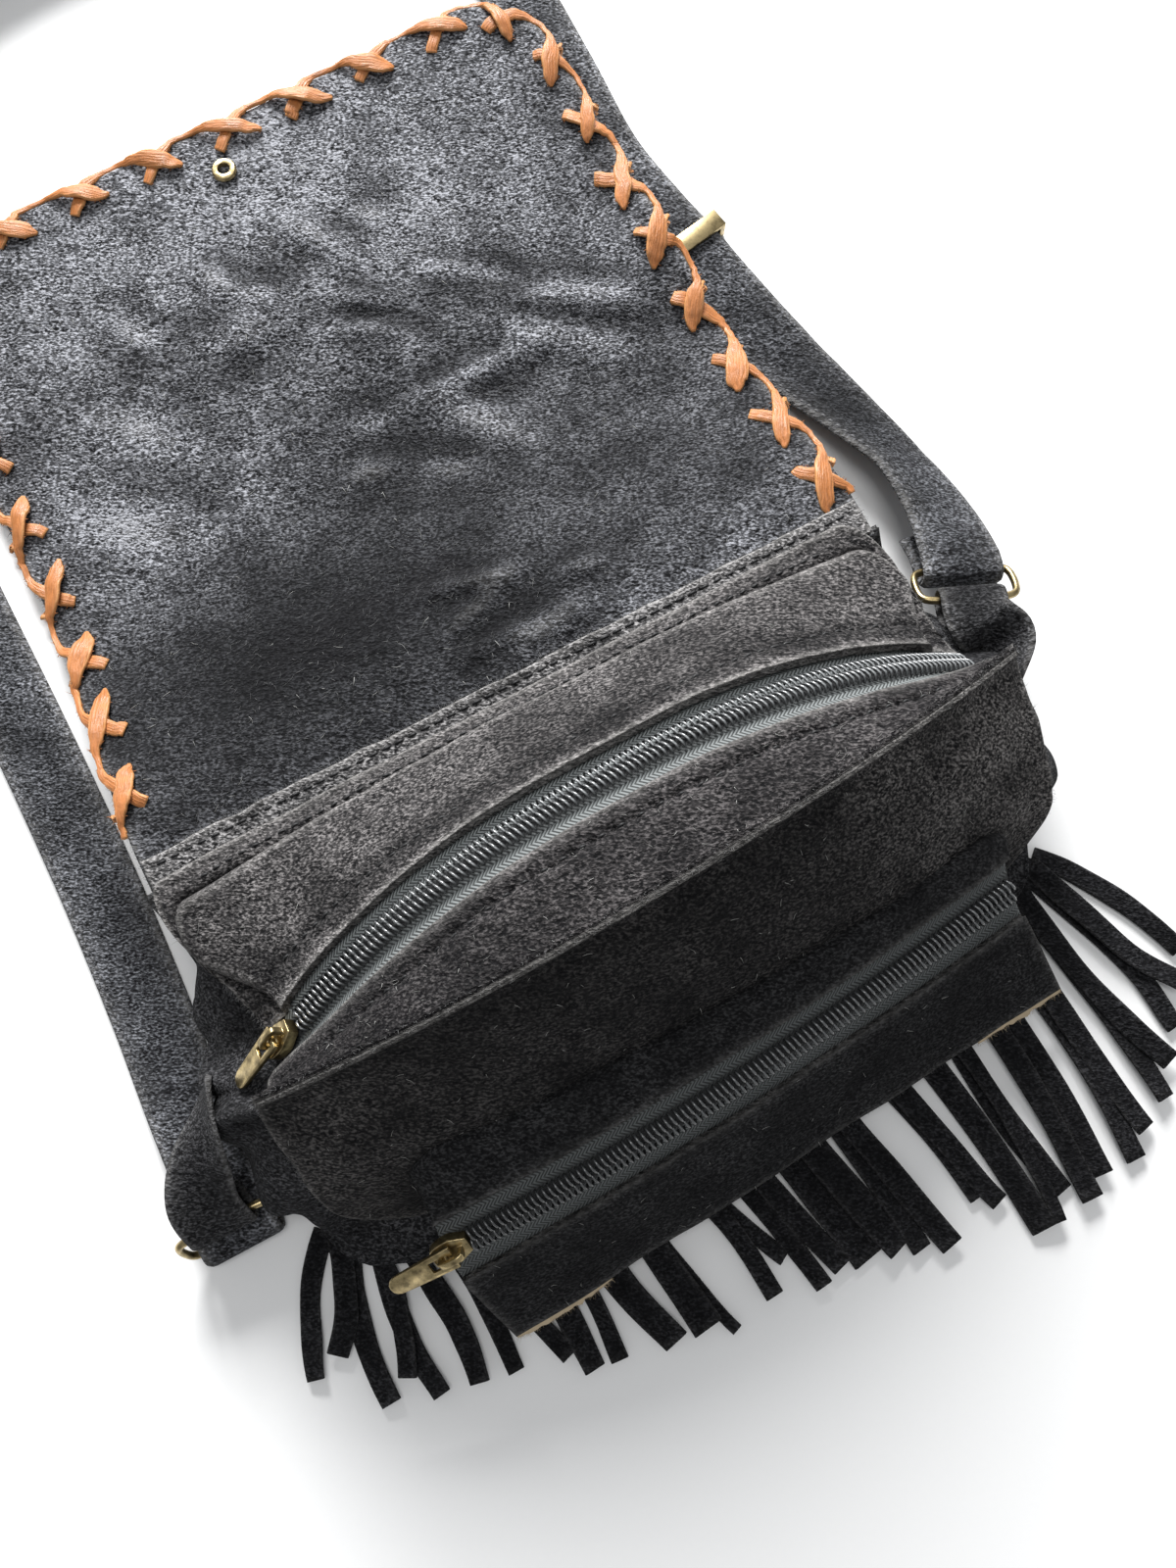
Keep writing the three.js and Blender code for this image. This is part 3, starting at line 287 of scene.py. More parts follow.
# Fringe strands: where they leave the lower edge, from -1 to 1, where their tips lie, width, bow and layer.
FRINGE_LEFT = table(
    "along x y width bow layer",
    (-0.995, -128, -76, 5.5, -3, 0),
    (-0.97, -120, -73, 6.0, 2, 1),
    (-0.945, -113, -90, 6.0, -3, 0),
    (-0.91, -106, -86, 5.0, 3, 1),
    (-0.885, -102, -94, 6.0, -2, 0),
    (-0.845, -92, -96, 6.0, 3, 1),
)
FRINGE_BOTTOM = table(
    "along x y width bow layer",
    (-0.76, -81, -98, 4.5, 1, 0),
    (-0.66, -67, -101, 5.0, -2, 1),
    (-0.6, -62, -107, 6.5, 1, 0),
    (-0.54, -56, -108, 5.0, 2, 1),
    (-0.46, -41, -111, 9.0, -2, 0),
    (-0.37, -32, -112, 8.0, 1, 1),
    (-0.31, -24, -116, 3.6, -4, 0),
    (-0.25, -12, -113, 5.5, 3, 1),
    (-0.2, -5, -106, 4.6, -3, 0),
    (-0.12, 1, -117, 5.5, 1, 0),
    (-0.06, 7.5, -115, 6.0, -1, 1),
    (0.01, 14, -117, 8.5, 1, 0),
    (0.09, 23, -118, 8.5, -1, 1),
    (0.15, 29, -121, 6.0, 2, 0),
    (0.21, 35, -124, 6.5, -1, 1),
    (0.28, 49, -117, 6.5, 3, 0),
    (0.36, 54, -120, 6.0, -3, 1),
    (0.44, 60, -132, 7.0, 2, 0),
    (0.5, 64, -132, 4.0, 6, 1),
    (0.57, 70, -126, 6.5, -2, 0),
    (0.64, 76, -131, 6.0, 2, 1),
    (0.71, 82, -127, 6.5, 1, 0),
)
FRINGE_RIGHT = table(
    "along x y width bow layer",
    (0.79, 91, -128, 6.0, 2, 0),
    (0.83, 99, -122, 6.0, -2, 1),
    (0.87, 106, -118, 5.5, 3, 0),
    (0.905, 113, -110, 6.0, -3, 1),
    (0.94, 121, -103, 5.5, 2, 0),
    (0.965, 127, -94, 6.0, -2, 1),
    (0.985, 132, -86, 5.5, 3, 0),
)
FRINGE = {
    "thick": 1.4, "heading": 7, "floor": 0.35, "layer": 1.9, "root_out": 1.015, "root_back": 0.6,
    "root_in": 1.5, "tip": 0.6, "arch": 0.8, "arch_to": 1.2, "seed": 10,
}

# Unevenness along a strand, in the columns of the lace's.
FRINGE_WAVES = keyed(
    "size waves seed",
    bow=(1.2, 3, 47),
    lift=(0.6, 2.5, 53),
    twist=(0.5, 1.5, 59),
    width=(0.1, 4, 61),
)

# The shoulder strap's route: its middle, and the heading and tilt of its width.
STRAP_ROUTE = table(
    "x y z across tilt",
    (-130, -12, 1.4, 0, 0),
    (-130, -28, 1.4, 0, 0),
    (-130, -35.2, 2.2, 0, 0),
    (-130, -36.2, 4.4, 0, 0),
    (-130, -35.2, 6.6, 0, 0),
    (-130, -32, 7.6, 0, 0),
    (-130, -22, 6.4, 0, 0),
    (-130, -10, 4.4, 0, 0),
    (-130, 6, 1.9, 0, 0),
    (-128.5, 30, 1.4, 0, 0),
    (-127, 70, 1.4, 0, 0),
    (-127, 120, 1.4, 0, 0),
    (-128, 170, 1.4, 0, 0),
    (-128, 220, 1.4, 0, 0),
    (-127, 256, 2.6, -4, 5),
    (-121, 290, 6.2, -16, 24),
    (-104, 322, 10.2, -35, 52),
    (-68, 350, 11.9, -62, 74),
    (-12, 361, 12.2, -90, 80),
    (44, 352, 11.9, -115, 74),
    (84, 326, 10.2, -145, 52),
    (102, 302, 6.2, -166, 24),
    (107, 278, 2, -178, 1),
    (107, 240, 1.6, -180, 0),
    (106, 206, 1.5, -182, 0),
    (109, 182, 2.7, -190, 0),
    (112, 166, 3.3, -192, 0),
    (115, 150, 2.7, -193, 0),
    (121, 122, 2.3, -195, 0),
    (124.5, 109, 3.6, -196, 6),
    (128, 96, 5.6, -198, 14),
    (133, 74, 9.5, -202, 26),
    (132, 54, 16.5, -204, 16),
    (127.2, 37.6, 23.3, -204, 0),
    (125.2, 32.8, 24.2, -204, 0),
    (124.4, 31.4, 21.9, -204, 0),
    (125.3, 33.2, 17.9, -204, 0),
    (128.5, 42, 13.6, -204, 0),
    (130, 49, 10.4, -204, 0),
)
STRAP_STITCH = {"from_edge": 2.2, "sunk": 0.05, "from": 126, "to": 572}
RING = {"deep": 10, "wire": 2.6}
RING_LEFT = {"middle": (-130, -30.35, 10.1), "bars": (1, 0, 0), "to_tab": (0, 0.42, 0.907)}
RING_RIGHT = {"middle": (124, 30, 24), "bars": (0.916, -0.4, 0), "to_tab": (-0.348, -0.795, 0.497)}
TAB = {"width": 18, "bar": 2.95, "lead": 9, "tail": 7, "turns": 4, "thick": 1.6}
TAB_LEFT = {"root": (-113.8, 6, 29), "bend": (-122.5, -8, 28), "root_across": (0.3, 0, 0.95)}
TAB_RIGHT = {"root": (113.5, -2, 29), "bend": (122, 11.5, 31), "root_across": (0.3, 0, 0.95)}

POCKET_WALL = {"side": 0.36, "inset": 0.016, "low": 0.06, "high": 0.88, "foot": 0.02, "climb": 0.44}
POCKET_WALL_END = {"from": 0.62, "closer": 2.4}
GUSSET = {
    "side": 0.37, "over_top": 0.55, "bulge": 12, "bulge_left": 16, "corner": 0.6, "below": 0.9,
    "calm": 0.3, "pleat": 2.2, "pleats": 5, "slope": 4, "tall": 32,
}
GUSSET_UPPER = {
    "edge": 0.02, "under": 4.8, "top_from": 0.93, "top_to": 0.03,
    "front_from": 0.95, "front_to": 0.05,
}
GUSSET_LOWER = {"share": 0.975, "top_y": 48, "inset": 2, "lift": 0.4}
GUSSET_UNDER_FRONT = np.array([0, 0.6, -2])

# Half of a strip's section: across and through it, as shares of its width and thickness, and its wear.
HALF_SECTION = table(
    "across through edge",
    (-0.5, 0.15, 1),
    (-0.455, 0.42, 1),
    (-0.4, 0.5, 0.2),
    (-0.15, 0.5, 0),
    (0.15, 0.5, 0),
    (0.4, 0.5, 0.2),
    (0.455, 0.42, 1),
    (0.5, 0.15, 1),
)
SECTION = [(row["across"], row["through"], row["edge"]) for row in HALF_SECTION]
SECTION = SECTION + [(a, -b, edge) for a, b, edge in reversed(SECTION)]


class BagSizes(bpy.types.PropertyGroup):
    """Sizes of the soft pieces and their stitching."""

    suede: bpy.props.FloatProperty(
        name="Suede thickness", description="Thickness of one layer of suede",
        default=SUEDE_THICK * MM, unit="LENGTH",
    )
    lace: bpy.props.FloatProperty(
        name="Lace thickness", description="Thickness of the leather lace",
        default=0.0012, unit="LENGTH",
    )
    strap_width: bpy.props.FloatProperty(
        name="Strap width", description="Width of the shoulder strap",
        default=0.022, unit="LENGTH",
    )
    strap_thick: bpy.props.FloatProperty(
        name="Strap thickness", description="Thickness of the folded strap",
        default=0.0024, unit="LENGTH",
    )
    coil_pitch: bpy.props.FloatProperty(
        name="Coil pitch", description="Distance between two turns of a zip coil",
        default=0.0016, unit="LENGTH",
    )
    coil_width: bpy.props.FloatProperty(
        name="Coil width", description="Width of both rows of a zip coil",
        default=0.0064, unit="LENGTH",
    )
    coil_high: bpy.props.FloatProperty(
        name="Coil height", description="Height of a zip coil over its seat",
        default=0.0026, unit="LENGTH",
    )
    seam_pitch: bpy.props.FloatProperty(
        name="Seam pitch", description="Length of one stitch along the hinge",
        default=0.0038, unit="LENGTH",
    )
    strap_pitch: bpy.props.FloatProperty(
        name="Strap pitch", description="Length of one stitch along the strap",
        default=0.0028, unit="LENGTH",
    )
    thread: bpy.props.FloatProperty(
        name="Thread", description="Radius of the sewing thread",
        default=0.0004, unit="LENGTH",
    )
    brass_edge: bpy.props.FloatProperty(
        name="Brass edge", description="Rounding of the cast brass pieces' edges",
        default=0.00022, unit="LENGTH",
    )


class BagColours(bpy.types.PropertyGroup):
    """Colours of the bag's materials and of the floor."""

    suede_dark: bpy.props.FloatVectorProperty(
        name="Suede, dark", description="Suede in the hollows of its nap",
        subtype="COLOR", default=(0.005, 0.005, 0.0056),
    )
    suede_light: bpy.props.FloatVectorProperty(
        name="Suede, light", description="Suede on the tips of its nap",
        subtype="COLOR", default=(0.34, 0.34, 0.35),
    )
    suede_edge: bpy.props.FloatVectorProperty(
        name="Suede edge", description="Cut or rubbed edge of the suede",
        subtype="COLOR", default=(0.33, 0.32, 0.305),
    )
    lace: bpy.props.FloatVectorProperty(
        name="Lace", description="Smooth side of the leather lace",
        subtype="COLOR", default=(0.56, 0.2, 0.055),
    )
    lace_edge: bpy.props.FloatVectorProperty(
        name="Lace edge", description="Cut edge of the leather lace",
        subtype="COLOR", default=(0.72, 0.38, 0.15),
    )
    brass: bpy.props.FloatVectorProperty(
        name="Brass", description="Aged brass",
        subtype="COLOR", default=(0.56, 0.44, 0.23),
    )
    tape: bpy.props.FloatVectorProperty(
        name="Zip tape", description="Woven zip tape",
        subtype="COLOR", default=(0.25, 0.27, 0.27),
    )
    coil: bpy.props.FloatVectorProperty(
        name="Zip coil", description="Nylon zip coil",
        subtype="COLOR", default=(0.012, 0.013, 0.014),
    )
    # Painted highlight on the coil's turns.
    coil_painted_highlight: bpy.props.FloatVectorProperty(
        name="Zip coil, painted highlight", description="Painted highlight on the tops of the coil's turns",
        subtype="COLOR", default=(0.42, 0.44, 0.45),
    )
    thread: bpy.props.FloatVectorProperty(
        name="Thread", description="Black sewing thread",
        subtype="COLOR", default=(0.006, 0.006, 0.007),
    )
    strap_thread: bpy.props.FloatVectorProperty(
        name="Strap thread", description="Grey sewing thread on the strap",
        subtype="COLOR", default=(0.1, 0.1, 0.105),
    )
    raw: bpy.props.FloatVectorProperty(
        name="Raw edge", description="Pale torn edge of the suede",
        subtype="COLOR", default=(0.62, 0.50, 0.34),
    )
    hair: bpy.props.FloatVectorProperty(
        name="Hair", description="Loose hairs of the nap and of cut edges",
        subtype="COLOR", default=(0.24, 0.24, 0.24),
    )
    lint: bpy.props.FloatVectorProperty(
        name="Lint", description="Loose fibres on the suede",
        subtype="COLOR", default=(0.45, 0.45, 0.43),
    )
    floor: bpy.props.FloatVectorProperty(
        name="Floor", description="Plain pale floor",
        subtype="COLOR", default=(0.96, 0.96, 0.955),
    )


def mm(name):
    """A size of the bag in millimetres."""
    return getattr(bpy.context.scene.bag_sizes, name) / MM


def colour(name):
    """A colour of the bag with its alpha."""
    return (*getattr(bpy.context.scene.bag_colours, name), 1.0)


# Numbers and curves


TINY = 1e-9
HASH = {"x": 127.1, "y": 311.7, "seed": 74.7, "gain": 43758.5453}


def lerp(a, b, t):
    return a + (b - a) * t


def smoothstep(low, high, x):
    t = np.clip((x - low) / (high - low), 0, 1)
    return t * t * (3 - 2 * t)


def unit(v):
    v = np.asarray(v, float)
    return v / np.maximum(np.linalg.norm(v, axis=-1, keepdims=True), TINY)


def hump(x, wide):
    """A soft hump, 1 at 0 and almost 0 at twice its width."""
    return np.exp(-((x / wide) ** 2))


def lattice(ix, iy, seed):
    """A repeatable number from 0 to 1 at a lattice point."""
    wave = np.sin(ix * HASH["x"] + iy * HASH["y"] + seed * HASH["seed"]) * HASH["gain"]
    return wave - np.floor(wave)


def noise(x, y, seed):
    """Smooth noise from -1 to 1 with features about one unit wide."""
    ix, iy = np.floor(x), np.floor(y)
    fx, fy = x - ix, y - iy
    fx, fy = fx * fx * (3 - 2 * fx), fy * fy * (3 - 2 * fy)
    low = lerp(lattice(ix, iy, seed), lattice(ix + 1, iy, seed), fx)
    high = lerp(lattice(ix, iy + 1, seed), lattice(ix + 1, iy + 1, seed), fx)
    return 2 * lerp(low, high, fy) - 1


def wave_along(row, t, seed):
    """Unevenness at shares t of a line, from a row of a table of waves."""
    return row["size"] * noise(t * row["waves"], seed + 0 * t, row["seed"])


def knot(a, b):
    """The step of a centripetal curve between two points."""
    return np.maximum(np.sum((b - a) ** 2, -1, keepdims=True), TINY) ** 0.25


def span(p0, p1, p2, p3, w):
    """One span of a centripetal curve from p1 to p2."""
    d0, d1, d2 = knot(p0, p1), knot(p1, p2), knot(p2, p3)
    t1 = ((p1 - p0) / d0 - (p2 - p0) / (d0 + d1) + (p2 - p1) / d1) * d1
    t2 = ((p2 - p1) / d1 - (p3 - p1) / (d1 + d2) + (p3 - p2) / d2) * d1
    w = np.asarray(w)[..., None]
    return p1 + t1 * w + (3 * (p2 - p1) - 2 * t1 - t2) * w**2 + (2 * (p1 - p2) + t1 + t2) * w**3


def along_curve(points, t):
    """Points at shares t of a curve through points, each span taking the same share."""
    points = np.asarray(points, float)
    place = np.clip(np.asarray(t, float) * (len(points) - 1), 0, len(points) - 1 - TINY)
    i = np.floor(place).astype(int)
    padded = np.vstack([2 * points[0] - points[1], points, 2 * points[-1] - points[-2]])
    return span(padded[i], padded[i + 1], padded[i + 2], padded[i + 3], place - i)


def along_table(values, t):
    """Values of a table's column at shares t of its length."""
    return np.interp(np.asarray(t) * (len(values) - 1), np.arange(len(values)), values)


def seam_row(name):
    """A seam as a function of the share across the bag."""
    seam = SEAMS[name]

    def row(u):
        s = 2 * np.asarray(u, float) - 1
        bend = np.abs(s) ** seam["power"]
        x = seam["centre"] + seam["half"] * s
        y = seam["y"] + seam["skew"] * s + seam["end_y"] * bend
        z = seam["z"] + seam["end_z"] * bend
        return np.stack([x, y, z], -1)

    return row


def through_rows(first, middle, last):
    """A surface through three rows, at v = 0, 0.5 and 1."""

    def surface(u, v):
        u, v = np.broadcast_arrays(np.asarray(u, float), np.asarray(v, float))
        a, b, c = first(u), middle(u), last(u)
        low = span(2 * a - b, a, b, c, np.clip(2 * v, None, 1))
        high = span(a, b, c, 2 * c - b, np.clip(2 * v - 1, 0, None))
        return np.where((v < 0.5)[..., None], low, high)

    return surface


def normal_at(surface, u, v, step=0.004):
    u, v = np.broadcast_arrays(np.asarray(u, float), np.asarray(v, float))
    along_u = surface(np.minimum(u + step, 1), v) - surface(np.maximum(u - step, 0), v)
    along_v = surface(u, np.minimum(v + step, 1)) - surface(u, np.maximum(v - step, 0))
    return unit(np.cross(along_u, along_v))


def offset_surface(surface, distance):
    return lambda u, v: surface(u, v) + normal_at(surface, u, v) * distance


top_surface = through_rows(seam_row("welt"), seam_row("zip"), seam_row("hinge"))
front_surface = through_rows(seam_row("front_low"), seam_row("front_middle"), seam_row("welt"))
front_outside = offset_surface(front_surface, SUEDE_THICK + GAP)


def front_across(x):
    """The share across the front panel at x."""
    return (x - SEAMS["front_middle"]["centre"]) / (2 * SEAMS["front_middle"]["half"]) + 0.5


def pocket_top_row(u):
    x = POCKET["centre"] + POCKET["half"] * (2 * np.asarray(u) - 1)
    return front_outside(front_across(x), POCKET["seam"])


pocket_surface = through_rows(seam_row("pocket_low"), seam_row("pocket_zip"), pocket_top_row)


def share_beside(surface, u, distance, side):
    """The share of v that a distance takes up beside the zip, whose row is at v = 0.5."""
    reach = np.linalg.norm(surface(u, 0.5) - surface(u, 0.5 + 0.5 * side), axis=-1)
    return 0.5 * distance / reach


def zip_gap(middle, u):
    """Distance of the suede from the main zip's middle line, closing towards its ends."""
    return lerp(middle, ZIP["gap_end"], np.abs(2 * u - 1) ** ZIP["gap_power"])


# Meshes


# A way that no line of the bag runs along.
ASKEW = [0.31, 0.17, 0.93]
EDGE_FADE = 0.9

# Height along a stitch, in radii of its thread, and how a row of stitches lies.
STITCH_ARCH = np.array([-1.6, -0.2, 0.35, 0.35, -0.2, -1.6])
STITCH = {"sides": 5, "share": 0.62, "sink": 0.1, "proud": 0.1, "groove": 0.45}

# A hair's rings: their places along it and how thick it is there.
HAIR_PLACES = np.array([0, 0.55, 1.0])
HAIR_TAPER = np.array([1, 0.8, 0.3])
HAIR_SIDES = 3
EDGE_HAIR = {"spread": 0.55, "least": 0.4, "most": 1.4, "radius": 0.05, "curl": 0.5}
LYING_HAIR = {"least": 0.5, "most": 1.5, "curl": 0.35}

# Rows that a drawn place stays short of a grid's end, so that a next row is there.
LAST_ROW = 1.001


class Parts:
    """Points and faces of one mesh, with each point's place on its flat sheet and its wear and painted light.

    This is 1 on a cut edge, above 0 where a piece is rubbed pale and where a highlight is painted, and below
    0 where shade is painted into a hollow. On a zip's tape it is painted shade under the coil. The mesh keeps
    it as its attribute "edge".
    """

    def __init__(self):
        self.points = []
        self.faces = []
        self.flat = []
        self.edge = []
        self.count = 0

    def add(self, points, faces, flat, edge):
        self.points.append(np.asarray(points, float).reshape(-1, 3))
        self.flat.append(np.asarray(flat, float).reshape(-1, 2))
        self.edge.append(np.asarray(edge, float).ravel())
        self.faces.extend([[i + self.count for i in face] for face in faces])
        self.count += len(self.points[-1])

    def build(self, name, material):
        mesh = bpy.data.meshes.new(name)
        mesh.from_pydata((np.vstack(self.points) * MM).tolist(), [], self.faces)
        mesh.validate()
        edge = mesh.attributes.new("edge", "FLOAT", "POINT")
        edge.data.foreach_set("value", np.concatenate(self.edge).astype(np.float32))
        flat = np.vstack(self.flat)
        corner = np.zeros(len(mesh.loops), np.int32)
        mesh.loops.foreach_get("vertex_index", corner)
        layer = mesh.uv_layers.new(name="flat")
        layer.data.foreach_set("uv", flat[corner].astype(np.float32).ravel())
        mesh.polygons.foreach_set("use_smooth", np.ones(len(mesh.polygons), bool))
        mesh.materials.append(material)
        mesh.update()
        piece = bpy.data.objects.new(name, mesh)
        bpy.context.scene.collection.objects.link(piece)
        return piece


def grid(cells_u, cells_v):
    """Two arrays of shares for a grid of cells."""
    return np.meshgrid(np.linspace(0, 1, cells_u + 1), np.linspace(0, 1, cells_v + 1), indexing="ij")


def grid_normals(points):
    return unit(np.cross(np.gradient(points, axis=0), np.gradient(points, axis=1)))


def lengths(points, axis):
    """Distance from the first row or column, along a grid or a line of points."""
    step = np.linalg.norm(np.diff(points, axis=axis), axis=-1)
    start = np.zeros_like(np.take(step, [0], axis))
    return np.concatenate([start, np.cumsum(step, axis)], axis)


def sheet(parts, points, thickness, raw=(1, 1, 1, 1), roundness=0.4, wear_and_painted_light=0.0):
    """A closed sheet round a grid of middle points.

    raw says which of its edges u0, u1, v0 and v1 are cut, roundness how far its rim stands out, as a share
    of its thickness, and the last, its wear and painted light, how rubbed each point is and how much light or
    shade is painted on it.
    """
    count_u, count_v = points.shape[:2]
    count = count_u * count_v
    normal = grid_normals(points)
    half = np.broadcast_to(np.asarray(thickness, float), points.shape[:2])[..., None] / 2
    run_u, run_v = lengths(points, 0), lengths(points, 1)
    sides = [run_u, run_u[-1:] - run_u, run_v, run_v[:, -1:] - run_v]
    near = np.min([np.where(cut, side, np.inf) for cut, side in zip(raw, sides)], axis=0)
    # Cut edges, then wear, painted highlight and painted shade.
    edge = np.clip(np.exp(-near / EDGE_FADE) + wear_and_painted_light, -1, 1).ravel()
    flat = np.stack([run_u, run_v], -1).reshape(-1, 2)
    index = np.arange(count).reshape(count_u, count_v)
    quads = np.stack([index[:-1, :-1], index[1:, :-1], index[1:, 1:], index[:-1, 1:]], -1).reshape(-1, 4)
    loop = np.concatenate([index[:-1, 0], index[-1, :-1], index[:0:-1, -1], index[0, :0:-1]])
    middle = points.reshape(-1, 3)[loop]
    out = -np.cross(unit(np.roll(middle, 1, 0) - np.roll(middle, -1, 0)), normal.reshape(-1, 3)[loop])
    rim = middle - out * (2 * half).reshape(-1)[loop][:, None] * roundness
    around = 2 * count + np.arange(len(loop))
    under_loop = loop + count
    upper_rim = np.stack([loop, np.roll(loop, -1), np.roll(around, -1), around], -1)
    lower_rim = np.stack([around, np.roll(around, -1), np.roll(under_loop, -1), under_loop], -1)
    faces = np.vstack([quads, quads[:, ::-1] + count, upper_rim[:, ::-1], lower_rim[:, ::-1]]).tolist()
    upper = (points + normal * half).reshape(-1, 3)
    lower = (points - normal * half).reshape(-1, 3)
    all_flat = np.vstack([flat, flat, flat[loop]])
    all_edge = np.concatenate([edge, edge, edge[loop]])
    parts.add(np.vstack([upper, lower, rim]), faces, all_flat, all_edge)


def ring_faces(count, sides):
    """Faces round a row of rings of points, with both ends closed."""
    faces = []
    for i in range(count - 1):
        for j in range(sides):
            k = (j + 1) % sides
            faces.append([i * sides + j, i * sides + k, (i + 1) * sides + k, (i + 1) * sides + j])
    faces.append(list(range(sides))[::-1])
    faces.append([(count - 1) * sides + j for j in range(sides)])
    return faces


def strip(parts, points, across, width, thickness, crown=0.0):
    """A closed strip along points, with rounded cut edges.

    crown is its rise in the middle, as a share of its width.
    """
    count = len(points)
    heading = unit(np.gradient(points, axis=0))
    across = unit(across - heading * np.sum(across * heading, -1, keepdims=True))
    normal = np.cross(heading, across)
    width = np.broadcast_to(width, count)
    thickness = np.broadcast_to(thickness, count)
    rows = []
    for a, b, _ in SECTION:
        rise = b * thickness + crown * (1 - 4 * a * a) * width
        rows.append(points + across * (a * width)[:, None] + normal * rise[:, None])
    run = lengths(points, 0)
    flat = np.stack([np.stack([run, a * width], -1) for a, _, _ in SECTION], 1)
    edge = np.tile([cut for _, _, cut in SECTION], (count, 1)).astype(float)
    edge[0] = 1
    edge[-1] = 1
    parts.add(np.stack(rows, 1), ring_faces(count, len(SECTION)), flat, edge)


def tube(parts, points, radius, sides=6, crest=0.0):
    """A round closed tube along points. crest is how strongly a highlight is painted on its upper side."""
    count = len(points)
    heading = unit(np.gradient(points, axis=0))
    aside = unit(np.cross(heading, ASKEW))
    other = np.cross(heading, aside)
    angle = np.arange(sides) * 2 * math.pi / sides
    radius = np.broadcast_to(radius, count)[:, None, None]
    circle = aside[:, None] * np.cos(angle)[None, :, None] + other[:, None] * np.sin(angle)[None, :, None]
    along = np.broadcast_to(np.linspace(0, 1, count)[:, None, None], (count, sides, 1))
    turn = np.tile(angle[None, :, None], (count, 1, 1))
    flat = np.concatenate([along, turn], -1)
    # A highlight painted on the upper side.
    worn = crest * np.clip(circle[..., 2], 0, 1) ** 2
    parts.add(points[:, None] + circle * radius, ring_faces(count, sides), flat, worn)


def rows_at(at, run, rows):
    """Rows of points or ways at distances along their line."""
    return np.stack([np.interp(at, run, rows[:, k]) for k in range(3)], -1)


def stitch_row(parts, points, normals, pitch, share=STITCH["share"]):
    """Thread stitches along a row of points, each dipping into the suede at both ends."""
    run = lengths(points, 0)
    radius = mm("thread")
    high = STITCH_ARCH * radius - STITCH["sink"]
    for i in range(int(run[-1] / pitch)):
        at = (i + 0.5 + share * np.linspace(-0.5, 0.5, len(high))) * pitch
        place = rows_at(at, run, points) + rows_at(at, run, normals) * high[:, None]
        tube(parts, place, radius, STITCH["sides"])


def seat_stitches(along, aside, pitch, groove):
    """Depth of a groove with a dimple at each end of every stitch, along and beside a row of stitches."""
    hole = 0.5 + 0.5 * np.cos(2 * math.pi * along / pitch)
    return -groove["deep"] * hump(aside, groove["wide"]) * lerp(STITCH["groove"], 1, hole**2)


def row_on(points, distance):
    """A row of points so far along each line of a grid from its first edge, and the grid's normals there."""
    run = lengths(points, 1)
    distance = np.broadcast_to(distance, len(points))
    normal = grid_normals(points)
    share = [np.interp(d, r, np.arange(len(r))) for d, r in zip(distance, run)]
    low = np.minimum(np.floor(share).astype(int), points.shape[1] - 2)
    column = np.arange(len(points))
    part = (np.array(share) - low)[:, None]
    row = lerp(points[column, low], points[column, low + 1], part)
    return row, unit(lerp(normal[column, low], normal[column, low + 1], part))


def fibres(parts, roots, ways, long, radius, curl):
    """Fine tapered hairs from their roots along their ways."""
    ways = unit(ways)
    aside = unit(np.cross(ways, ASKEW))
    other = np.cross(ways, aside)
    reach = np.asarray(long)[:, None] * HAIR_PLACES
    line = roots[:, None] + ways[:, None] * reach[..., None]
    line = line + aside[:, None] * (reach * HAIR_PLACES * np.asarray(curl)[:, None])[..., None]
    angle = np.arange(HAIR_SIDES) * 2 * math.pi / HAIR_SIDES
    circle = aside[:, None, None] * np.cos(angle)[:, None] + other[:, None, None] * np.sin(angle)[:, None]
    ring = line[:, :, None] + circle * (radius * HAIR_TAPER)[:, None, None]
    one = ring_faces(len(HAIR_PLACES), HAIR_SIDES)
    count = len(HAIR_PLACES) * HAIR_SIDES
    faces = [[k * count + i for i in face] for k in range(len(roots)) for face in one]
    parts.add(ring, faces, np.zeros((len(roots) * count, 2)), np.zeros(len(roots) * count))


def edge_hairs(parts, edge, inner, row, seed):
    """Hairs that stand out of a cut edge: count and length. inner is the row of points next to the edge."""
    draw = np.random.default_rng(seed)
    count = row["count"]
    place = draw.uniform(0, len(edge) - LAST_ROW, count)
    i = place.astype(int)
    roots = lerp(edge[i], edge[i + 1], (place - i)[:, None])
    ways = unit(edge - inner)[i] + draw.normal(0, EDGE_HAIR["spread"], (count, 3))
    long = row["long"] * draw.uniform(EDGE_HAIR["least"], EDGE_HAIR["most"], count)
    fibres(parts, roots, ways, long, EDGE_HAIR["radius"], draw.normal(0, EDGE_HAIR["curl"], count))


def lying_hairs(parts, points, high, row, seed):
    """Hairs that lie on a grid of points: count, length, radius, and the spread and lift of their heading."""
    draw = np.random.default_rng(seed)
    count = row["count"]
    normal = grid_normals(points)
    way_u = unit(np.gradient(points, axis=0))
    way_v = np.cross(normal, way_u)
    place_u = draw.uniform(1, points.shape[0] - 1 - LAST_ROW, count)
    place_v = draw.uniform(1, points.shape[1] - 1 - LAST_ROW, count)
    i, j = place_u.astype(int), place_v.astype(int)
    along = lerp(points[i, j], points[i + 1, j], (place_u - i)[:, None])
    roots = along + (points[i, j + 1] - points[i, j]) * (place_v - j)[:, None] + normal[i, j] * high
    turn = draw.normal(0, row["spread"], count)[:, None]
    ways = way_u[i, j] * np.cos(turn) + way_v[i, j] * np.sin(turn) + normal[i, j] * row["lift"]
    long = row["long"] * draw.uniform(LYING_HAIR["least"], LYING_HAIR["most"], count)
    fibres(parts, roots, ways, long, row["radius"], draw.normal(0, LYING_HAIR["curl"], count))


def finish_piece(piece, slot, *nodes):
    """Puts a piece on the bag's body, in place of the nodes that it stands for, which it hides. slot is not
    used.
    """
    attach(piece, BODY)
    if nodes:
        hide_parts(*nodes)
    return piece


# Materials


